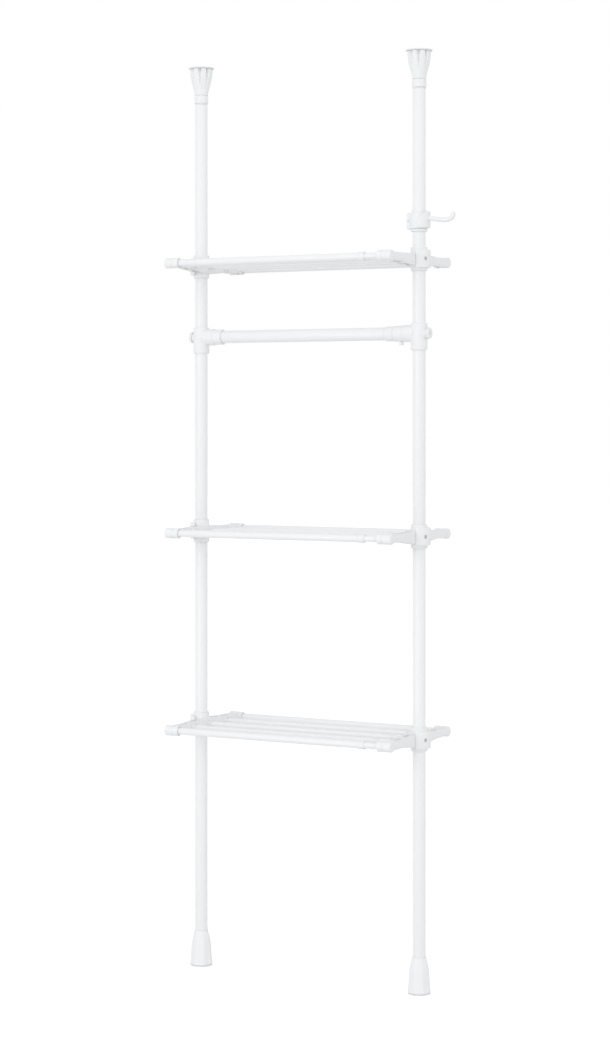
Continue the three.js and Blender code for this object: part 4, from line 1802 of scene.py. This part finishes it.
@dataclass
class HangingBar(Assembly):
    """The telescoping bar under the top shelf, with its joints, knobs and thumb screw."""

    tube_radius: float = 16 * MM
    collar_wall: float = 4.2 * MM
    collar_rise: float = 25 * MM
    collar_drop: float = 41 * MM
    edge: float = 1.2 * MM
    first_ring_radius: float = 21 * MM
    first_ring_end: float = 42 * MM
    second_ring_radius: float = 19.5 * MM
    second_ring_end: float = 66 * MM
    boss_radius: float = 11 * MM
    boss_length: float = 2.5 * MM
    tube_gap: float = 3 * MM
    sleeve_radius: float = 18.25 * MM
    sleeve_lip: float = 5 * MM
    knob_radius: float = 14 * MM
    knob_thickness: float = 7 * MM
    knob_edge: float = 1.4 * MM
    knob_grips: Hollows = Hollows(count=8, steps=12)
    knob_grip_depth: float = 1.1 * MM
    knob_shank_radius: float = 3 * MM
    knob_recess_radius: float = 6 * MM
    knob_recess_depth: float = 3 * MM
    thumb_radius: float = 6 * MM
    thumb_height: float = 7 * MM
    thumb_edge: float = 0.8 * MM
    thumb_grips: Hollows = Hollows(count=6, steps=10)
    thumb_grip_depth: float = 0.9 * MM
    thumb_neck: float = 1.5 * MM
    thumb_shank_radius: float = 2.5 * MM

    @property
    def collar_radius(self) -> float:
        """The joints' collar radius."""
        return self.places.seat + self.collar_wall

    @property
    def inner_radius(self) -> float:
        """The inner tube's radius."""
        return self.tube_radius - TUBE_WALL - GAP

    @property
    def thumb_place(self) -> float:
        """The thumb screw's distance from its pole, close to the end of the first ring."""
        return self.first_ring_end + self.thumb_radius

    def build(self) -> None:
        """Builds the joints, the knobs, both tubes, the sleeve and the thumb screw."""
        plastic, steel = Slot.WHITE_PLASTIC, Slot.PAINTED_STEEL
        left_joint = self.joint(self.tube_radius)
        right_joint = self.joint(self.inner_radius)
        hole = self.bench.rod(
            self.thumb_shank_radius + GAP, -self.second_ring_radius * 2, 0, Sides.HOLE
        )
        self.bench.cut(right_joint, self.bench.lay(hole, place=(self.thumb_place, 0, 0)))
        right_joint = self.moved_over(right_joint)
        left_knob = self.knob()
        thumb_screw = self.moved_over(self.thumb_screw())
        right_knob = self.bench.mirrored(left_knob, self.places.middle)
        outer, inner = CadPiece("bar_outer_tube"), CadPiece("bar_inner_tube")
        made = (
            (left_joint, "bar_joint_left", plastic, "bar_left"),
            (right_joint, "bar_joint_right", plastic, "bar_right"),
            (right_knob, "bar_knob_right", plastic, "right_knob"),
            (left_knob, "bar_knob_left", plastic, "left_knob"),
            (self.pipe(outer, self.tube_radius), "bar_outer_tube", steel, "bar_left"),
            (self.pipe(inner, self.inner_radius), "bar_inner_tube", steel, "bar_right"),
            (self.sleeve(CadPiece("bar_sleeve")), "bar_sleeve", plastic, "bar_left"),
            (thumb_screw, "bar_thumb_screw", plastic, "thumb_screw"),
        )
        for form, node, slot, body in made:
            self.bench.lay(form, place=(0, 0, self.places.bar))
            self.stand_in(form, node, slot, body)

    def moved_over(self, form: bpy.types.Object) -> bpy.types.Object:
        """Mirrors a form from the left pole to the right one, and scraps the left one.

        Args:
            form: the form about the left pole.

        Returns:
            The form about the right pole.
        """
        mirrored = self.bench.mirrored(form, self.places.middle)
        self.bench.scrap(form)
        return mirrored

    def joint(self, tube_radius: float) -> bpy.types.Object:
        """Fuses the collar, the stepped socket and the knob's boss, and bores them.

        Args:
            tube_radius: the radius of the tube that the socket holds.

        Returns:
            The joint, about the left pole.
        """
        edge, boss_end = self.edge, self.collar_radius + self.boss_length
        collar = self.bench.rounded(
            self.bench.rod(self.collar_radius, -self.collar_drop, self.collar_rise, Sides.COLLAR),
            edge,
        )
        socket_rings = [
            Ring(self.first_ring_radius, self.places.seat / 2),
            *Ring(self.first_ring_radius, self.first_ring_end).top_lip(edge),
            Ring(self.second_ring_radius, self.first_ring_end),
            *Ring(self.second_ring_radius, self.second_ring_end).top_lip(edge),
        ]
        boss_rings = [
            Ring(self.boss_radius + edge, self.places.seat),
            Ring(self.boss_radius + edge, self.collar_radius),
            Ring(self.boss_radius, self.collar_radius + edge),
            Ring(self.boss_radius, boss_end),
        ]
        socket = self.bench.along_x(self.bench.turned(socket_rings, Sides.COLLAR))
        boss = self.bench.outwards(self.bench.turned(boss_rings, Sides.BOSS))
        piece = self.bench.fused(collar, socket, boss)
        bore = self.bench.rod(
            self.places.seat,
            -self.collar_drop - OVERRUN,
            self.collar_rise + OVERRUN,
            Sides.COLLAR,
        )
        start, end = self.collar_radius + self.tube_gap - GAP, self.second_ring_end + OVERRUN
        seat = self.bench.rod(tube_radius + GAP, start, end, Sides.COLLAR)
        hole = self.bench.rod(self.knob_shank_radius + GAP, 0, boss_end + OVERRUN, Sides.HOLE)
        return self.bench.cut(piece, bore, self.bench.along_x(seat), self.bench.outwards(hole))

    def knob(self) -> bpy.types.Object:
        """Turns the round knob, with scalloped grips and a dished middle.

        Returns:
            The left knob with its shank.
        """
        start = self.collar_radius + self.boss_length + GAP
        end, edge, depth = start + self.knob_thickness, self.knob_edge, self.knob_grip_depth
        recess, floor = self.knob_recess_radius, end - self.knob_recess_depth
        rings = [
            Ring(self.knob_radius - edge / 2, start, depth),
            Ring(self.knob_radius, start + edge / 2, depth),
            *Ring(self.knob_radius, end, depth).top_lip(edge),
            Ring(recess + edge / 2, end),
            Ring(recess, end - edge / 2),
            Ring(recess, floor + edge / 2),
            Ring(recess - edge / 2, floor),
        ]
        disc = self.bench.turned(rings, hollows=self.knob_grips)
        shank = self.bench.rod(self.knob_shank_radius, self.places.seat, start + edge, Sides.SCREW)
        return self.bench.outwards(self.bench.fused(disc, shank))

    def pipe(self, cad: CadPiece, radius: float) -> bpy.types.Object:
        """Makes one of the bar's tubes.

        Args:
            cad: the tube's box.
            radius: its radius.

        Returns:
            The tube, along X.
        """
        return self.bench.along_x(self.bench.tube(radius, cad.low.x, cad.high.x, Sides.COLLAR))

    def sleeve(self, cad: CadPiece) -> bpy.types.Object:
        """Turns the sleeve on the outer tube's end.

        Args:
            cad: the sleeve's box.

        Returns:
            The sleeve, along X.
        """
        start, end = cad.low.x, cad.high.x
        step = end - self.sleeve_lip + GAP
        seat, lip = self.tube_radius + GAP, self.inner_radius + GAP
        rings = [
            Ring(seat, start),
            *Ring(self.sleeve_radius, start).foot_lip(self.edge),
            *Ring(self.sleeve_radius, end).top_lip(self.edge),
            Ring(lip, end),
            Ring(lip, step),
            Ring(seat, step),
        ]
        return self.bench.along_x(self.bench.turned(rings, Sides.COLLAR, bored=True))

    def thumb_screw(self) -> bpy.types.Object:
        """Turns the small gripped screw under a joint's socket.

        Returns:
            The screw, under the left joint.
        """
        top = -self.second_ring_radius - self.thumb_neck
        bottom, edge, depth = top - self.thumb_height, self.thumb_edge, self.thumb_grip_depth
        rings = [
            *Ring(self.thumb_radius, bottom, depth).foot_lip(edge),
            *Ring(self.thumb_radius, top, depth).top_lip(edge),
        ]
        head = self.bench.turned(rings, hollows=self.thumb_grips)
        shank = self.bench.rod(
            self.thumb_shank_radius,
            top - self.thumb_height / 2,
            -self.inner_radius - GAP,
            Sides.SCREW,
        )
        return self.bench.lay(self.bench.fused(head, shank), place=(self.thumb_place, 0, 0))


@dataclass
class Hook(Assembly):
    """The swivel hook: a slit liner, a clamp with a lug, and a rod on a curved plate."""

    liner_wall: float = 1.8 * MM
    liner_rim: float = 2.1 * MM
    liner_rim_height: float = 5.5 * MM
    liner_slot: float = 3 * MM
    turn_gap: float = 0.5 * MM
    clamp_wall: float = 4 * MM
    clamp_height: float = 40 * MM
    liner_edge: float = MM / 3
    clamp_edge: float = 2.6 * MM
    clamp_edge_steps: int = 4
    lug_reach: float = 31 * MM
    lug_thickness: float = 14 * MM
    lug_height: float = 40 * MM
    lug_slot: float = 2.4 * MM
    lug_edge: float = 2.4 * MM
    plate_rise: float = 22 * MM
    plate_drop: float = 17 * MM
    plate_thickness: float = 5 * MM
    plate_front: float = math.radians(72)
    plate_back: float = math.radians(32)
    plate_cut_place: float = 9 * MM
    plate_cut_lean: float = math.radians(54)
    plate_edge: float = 0.7 * MM
    rod_radius: float = 5.5 * MM
    rod_round_steps: int = 8
    rod_bend_steps: int = 24
    rod_dip: float = 5 * MM
    tip_rise: float = 19 * MM
    tip_segments: int = 32
    tip_rings: int = 20
    bend_run: float = 26 * MM
    screw_sizes: DomedScrew = DomedScrew(
        shank_radius=2.5 * MM, head_radius=4.5 * MM, head_height=3 * MM, cross_size=5 * MM
    )

    @property
    def clamp_inner(self) -> float:
        """The clamp's bore radius."""
        return self.places.seat + self.liner_wall + self.turn_gap

    @property
    def clamp_outer(self) -> float:
        """The clamp's outer radius."""
        return self.clamp_inner + self.clamp_wall

    @property
    def screw_place(self) -> float:
        """The screw's distance from the pole, halfway between the clamp and the lug's end."""
        return (self.clamp_outer + self.lug_reach) / 2

    def build(self) -> None:
        """Builds the four pieces of the hook."""
        made = (
            (self.liner(), "hook_liner", Slot.WHITE_PLASTIC, "hook_slider"),
            (self.clamp(), "hook_clamp", Slot.WHITE_PLASTIC, "hook"),
            (self.arm(), "hook_arm", Slot.WHITE_PLASTIC, "hook"),
            (self.screw(), "hook_screw", Slot.ZINC_STEEL, "hook"),
        )
        for form, node, slot, body in made:
            self.bench.lay(form, place=(self.places.right_pole, 0, self.places.hook))
            self.stand_in(form, node, slot, body)

    def liner(self) -> bpy.types.Object:
        """Turns the liner with its lower rim, and slits it.

        Returns:
            The liner, about the Z axis, as all of the hook's forms are.
        """
        outer = self.places.seat + self.liner_wall
        half = CadPiece("hook_liner").span.z / 2
        rim, edge = outer + self.liner_rim, self.liner_edge
        rings = [
            Ring(self.places.seat, -half),
            Ring(rim - edge, -half),
            Ring(rim, -half + edge),
            Ring(rim, -half + self.liner_rim_height - edge),
            Ring(rim - edge, -half + self.liner_rim_height),
            Ring(outer, -half + self.liner_rim_height),
            Ring(outer, half - edge),
            Ring(outer - edge, half),
            Ring(self.places.seat, half),
        ]
        slot = self.bench.block(
            (-2 * rim, -self.liner_slot / 2, -half - OVERRUN),
            (-self.places.seat / 2, self.liner_slot / 2, half + OVERRUN),
        )
        return self.bench.cut(self.bench.turned(rings, Sides.COLLAR, bored=True), slot)

    def clamp(self) -> bpy.types.Object:
        """Fuses the clamp's ring and lug, and cuts the bore, the slit and the screw's hole.

        Returns:
            The clamp.
        """
        half, lug = self.clamp_height / 2, self.lug_height / 2
        rod = self.bench.rod(self.clamp_outer, -half, half, Sides.POLE)
        ring = self.bench.rounded(rod, self.clamp_edge, self.clamp_edge_steps)
        block = self.bench.block(
            (-self.lug_reach, -self.lug_thickness / 2, -lug), (0, self.lug_thickness / 2, lug)
        )
        self.bench.rounded(block, self.lug_edge, self.clamp_edge_steps)
        piece = self.bench.fused(ring, block)
        bore = self.bench.rod(self.clamp_inner, -half - OVERRUN, half + OVERRUN, Sides.COLLAR)
        slit = self.bench.block(
            (-self.lug_reach - OVERRUN, -self.lug_slot / 2, -self.clamp_height),
            (-self.clamp_inner / 2, self.lug_slot / 2, self.clamp_height),
        )
        hole = self.bench.rod(
            self.screw_sizes.shank_radius + GAP,
            -self.lug_thickness,
            self.lug_thickness,
            Sides.HOLE,
        )
        self.bench.lay(hole, turn=(QUARTER_TURN, 0, 0), place=(-self.screw_place, 0, 0))
        return self.bench.cut(piece, bore, slit, hole)

    def plate(self) -> bpy.types.Object:
        """Spins the plate that hugs the clamp, and cuts its upper front corner off at a slant.

        Returns:
            The plate.
        """
        inner = self.clamp_outer + GAP
        outer = inner + self.plate_thickness
        half = (self.plate_rise + self.plate_drop) / 2
        middle = (self.plate_back - self.plate_front) / 2
        shell = self.bench.swept(inner, outer, half, self.plate_front + self.plate_back, middle)
        self.bench.lay(shell, place=(0, 0, self.plate_rise - half))
        corner = self.bench.lay(
            self.bench.block((-2 * outer, -2 * outer, 0), (2 * outer, 2 * outer, 2 * outer)),
            turn=(0, -self.plate_cut_lean, 0),
            place=(self.plate_cut_place, 0, 0),
        )
        return self.bench.rounded(self.bench.cut(shell, corner), self.plate_edge)

    def arm(self) -> bpy.types.Object:
        """Fuses the curved plate, the rod that dips and bends up, and its round tip.

        Returns:
            The hook's arm.
        """
        return self.bench.fused(self.plate(), *self.rod_and_tip())

    def rod_and_tip(self) -> tuple[bpy.types.Object, bpy.types.Object]:
        """Draws the rod along a curve, and rounds its tip with a ball.

        Returns:
            The rod and the ball.
        """
        start = self.clamp_outer + GAP + self.plate_thickness / 2
        reach = CadPiece("hook_arm").high.x - self.places.right_pole - self.rod_radius
        rise = self.tip_rise - self.rod_radius
        bend = reach + self.rod_radius - self.bend_run
        self.bench.clear()
        bpy.ops.curve.primitive_bezier_curve_add()
        curve = bpy.context.object
        curve.data.bevel_depth = self.rod_radius
        curve.data.bevel_resolution = self.rod_round_steps
        curve.data.resolution_u = self.rod_bend_steps
        curve.data.use_fill_caps = True
        points = curve.data.splines[0].bezier_points
        points.add(1)
        third = (bend - start) / 3
        knots = (
            ((start, self.rod_dip), (start, self.rod_dip), (start + third, self.rod_dip)),
            ((bend, 0), (bend - third, 0), (bend + self.bend_run / 2, 0)),
            ((reach, rise), (reach, self.tip_rise / 3), (reach, rise)),
        )
        for point, (place, before, after) in zip(points, knots):
            point.handle_left_type = point.handle_right_type = "FREE"
            point.co = (place[0], 0, place[1])
            point.handle_left = (before[0], 0, before[1])
            point.handle_right = (after[0], 0, after[1])
        self.bench.pick(curve)
        bpy.ops.object.convert(target="MESH")
        rod = self.bench.lay(bpy.context.object)
        self.bench.open_for_editing(rod)
        self.bench.close_up(rod)
        self.bench.clear()
        bpy.ops.mesh.primitive_uv_sphere_add(
            segments=self.tip_segments, ring_count=self.tip_rings, radius=self.rod_radius
        )
        tip = self.bench.lay(bpy.context.object, place=(reach, 0, rise))
        return rod, tip

    def screw(self) -> bpy.types.Object:
        """Turns the lug's screw, with its head to the back.

        Returns:
            The screw.
        """
        half = self.lug_thickness / 2
        piece = self.bench.domed_screw(self.screw_sizes, -half, half + GAP)
        return self.bench.lay(piece, turn=(-QUARTER_TURN, 0, 0), place=(-self.screw_place, 0, 0))


@dataclass
class Studio:
    """The floor, the soft lights, the world and the camera at the photograph's angle."""

    bench: Bench
    camera_place: tuple[float, float, float] = (3.094, -5.111, 1.406)
    camera_turn: float = math.radians(28.65)
    focal_pixels: float = 2326.4
    horizon_row: float = 416.6
    sensor: float = 36.0
    floor_size: float = 60.0
    floor_colour: float = 0.9
    floor_bounce: float = 0.85
    floor_glow: float = 0.32
    world_light: float = 1.04
    world_front: float = 0.4
    world_tilt: float = math.radians(45)
    lamp_target_height: float = 1.2
    lamp_size: tuple[float, float] = (2.4, 2.4)
    lamps: tuple[tuple[float, float, float, float], ...] = (
        (-0.2, -4.6, 1.5, 24.0),
    )

    def build(self) -> None:
        """Sets up everything that isn't part of the object."""
        self.floor()
        self.lights()
        self.world()
        self.camera()

    def floor(self) -> None:
        """Lays the floor: white to the camera, with the shadow on it, and plainer to the unit."""
        self.bench.clear()
        bpy.ops.mesh.primitive_plane_add(size=self.floor_size)
        floor = bpy.context.object
        floor.name = "studio_floor"
        material = bpy.data.materials.new("studio_floor")
        material.use_nodes = True
        tree = material.node_tree
        shown = tree.nodes["Principled BSDF"]
        fill(tree, shown, {
            "Base Color": self.grey(self.floor_colour), "Roughness": 1.0, "Specular IOR Level": 0.0,
        })
        plain = add_node(tree, "ShaderNodeBsdfDiffuse", {"Color": self.grey(self.floor_bounce)})
        glow = add_node(tree, "ShaderNodeEmission", {"Strength": self.floor_glow})
        parts = {0: shown.outputs["BSDF"], 1: glow.outputs["Emission"]}
        both = add_node(tree, "ShaderNodeAddShader", parts)
        self.split(tree, plain.outputs["BSDF"], both.outputs["Shader"], "Material Output")
        floor.data.materials.append(material)

    def grey(self, level: float) -> tuple[float, float, float, float]:
        """Gives the opaque grey of a level."""
        return (level, level, level, 1)

    def split(
        self,
        tree: bpy.types.NodeTree,
        lighting: bpy.types.NodeSocket,
        shown: bpy.types.NodeSocket,
        output: str,
    ) -> None:
        """Shows one shader to camera, glossy and transmission rays, and lights with another.

        Args:
            tree: the node tree.
            lighting: the shader that lights the unit.
            shown: the shader that is seen.
            output: the output node that both end in.
        """
        path = add_node(tree, "ShaderNodeLightPath")
        seen = path.outputs["Is Camera Ray"]
        for label in ("Is Glossy Ray", "Is Transmission Ray"):
            either = {0: seen, 1: path.outputs[label]}
            either_ray = add_node(tree, "ShaderNodeMath", either, operation="MAXIMUM")
            seen = either_ray.outputs["Value"]
        mix = add_node(tree, "ShaderNodeMixShader", {"Fac": seen, 1: lighting, 2: shown})
        tree.links.new(mix.outputs["Shader"], tree.nodes[output].inputs["Surface"])

    def lights(self) -> None:
        """Hangs the large soft lights, facing the unit."""
        target = Vector(((cad_bounds[0].x + cad_bounds[1].x) / 2, 0, self.lamp_target_height))
        for number, (x, y, z, power) in enumerate(self.lamps):
            place = Vector((x, y, z))
            turn = (target - place).to_track_quat("-Z", "Z").to_euler()
            bpy.ops.object.light_add(type="AREA", location=place, rotation=turn)
            lamp = bpy.context.object
            lamp.name = f"soft_light_{number}"
            lamp.data.shape = "RECTANGLE"
            lamp.data.size, lamp.data.size_y = self.lamp_size
            lamp.data.energy = power

    def world(self) -> None:
        """Makes a world that looks white and lights the unit a little more from the front."""
        world = bpy.data.worlds.new("studio")
        bpy.context.scene.world = world
        world.use_nodes = True
        tree = world.node_tree
        level, drop = math.cos(self.world_tilt), math.sin(self.world_tilt)
        turn = self.camera_turn
        front = (math.sin(turn) * level, -math.cos(turn) * level, -drop)
        way = add_node(tree, "ShaderNodeTexCoord").outputs["Object"]
        frontness = add_node(
            tree, "ShaderNodeVectorMath", {0: way, 1: front}, operation="DOT_PRODUCT"
        )
        strength = add_node(tree, "ShaderNodeMapRange", {
            "Value": frontness.outputs["Value"],
            "From Min": -1,
            "To Min": self.world_light - self.world_front,
            "To Max": self.world_light + self.world_front,
        })
        white = self.grey(1)
        lighting = tree.nodes["Background"]
        fill(tree, lighting, {"Color": white, "Strength": strength.outputs["Result"]})
        shown = add_node(tree, "ShaderNodeBackground", {"Color": white}).outputs["Background"]
        self.split(tree, lighting.outputs["Background"], shown, "World Output")

    def camera(self) -> None:
        """Sets the level camera, shifted so that its horizon is where the photograph's is."""
        bpy.ops.object.camera_add(
            location=self.camera_place, rotation=(QUARTER_TURN, 0, self.camera_turn)
        )
        camera = bpy.context.object
        camera.name = "photo_camera"
        camera.data.sensor_width = self.sensor
        camera.data.lens = self.focal_pixels / PHOTO_HEIGHT * self.sensor
        camera.data.shift_y = (self.horizon_row - PHOTO_HEIGHT / 2) / PHOTO_HEIGHT
        bpy.context.scene.camera = camera
        bpy.context.scene.view_settings.view_transform = "Standard"


def main() -> None:
    """Builds the unit's sub-assemblies in order, and the studio round them."""
    logging.basicConfig(level=logging.INFO, format="%(name)s: %(message)s")
    bench = Bench()
    places = Places.from_frame()
    Studio(bench).build()
    log.info("studio ready")
    finishes = Finishes(bench)
    arms = ShelfArms(bench, finishes, places)
    for assembly in (
        Poles(bench, finishes, places),
        Feet(bench, finishes, places),
        ScrewJacks(bench, finishes, places),
        arms,
        Decks(bench, finishes, places, arms),
        HangingBar(bench, finishes, places),
        Hook(bench, finishes, places),
    ):
        assembly.build()
        log.info("%s ready", type(assembly).__name__)


if __name__ == "__main__":
    main()
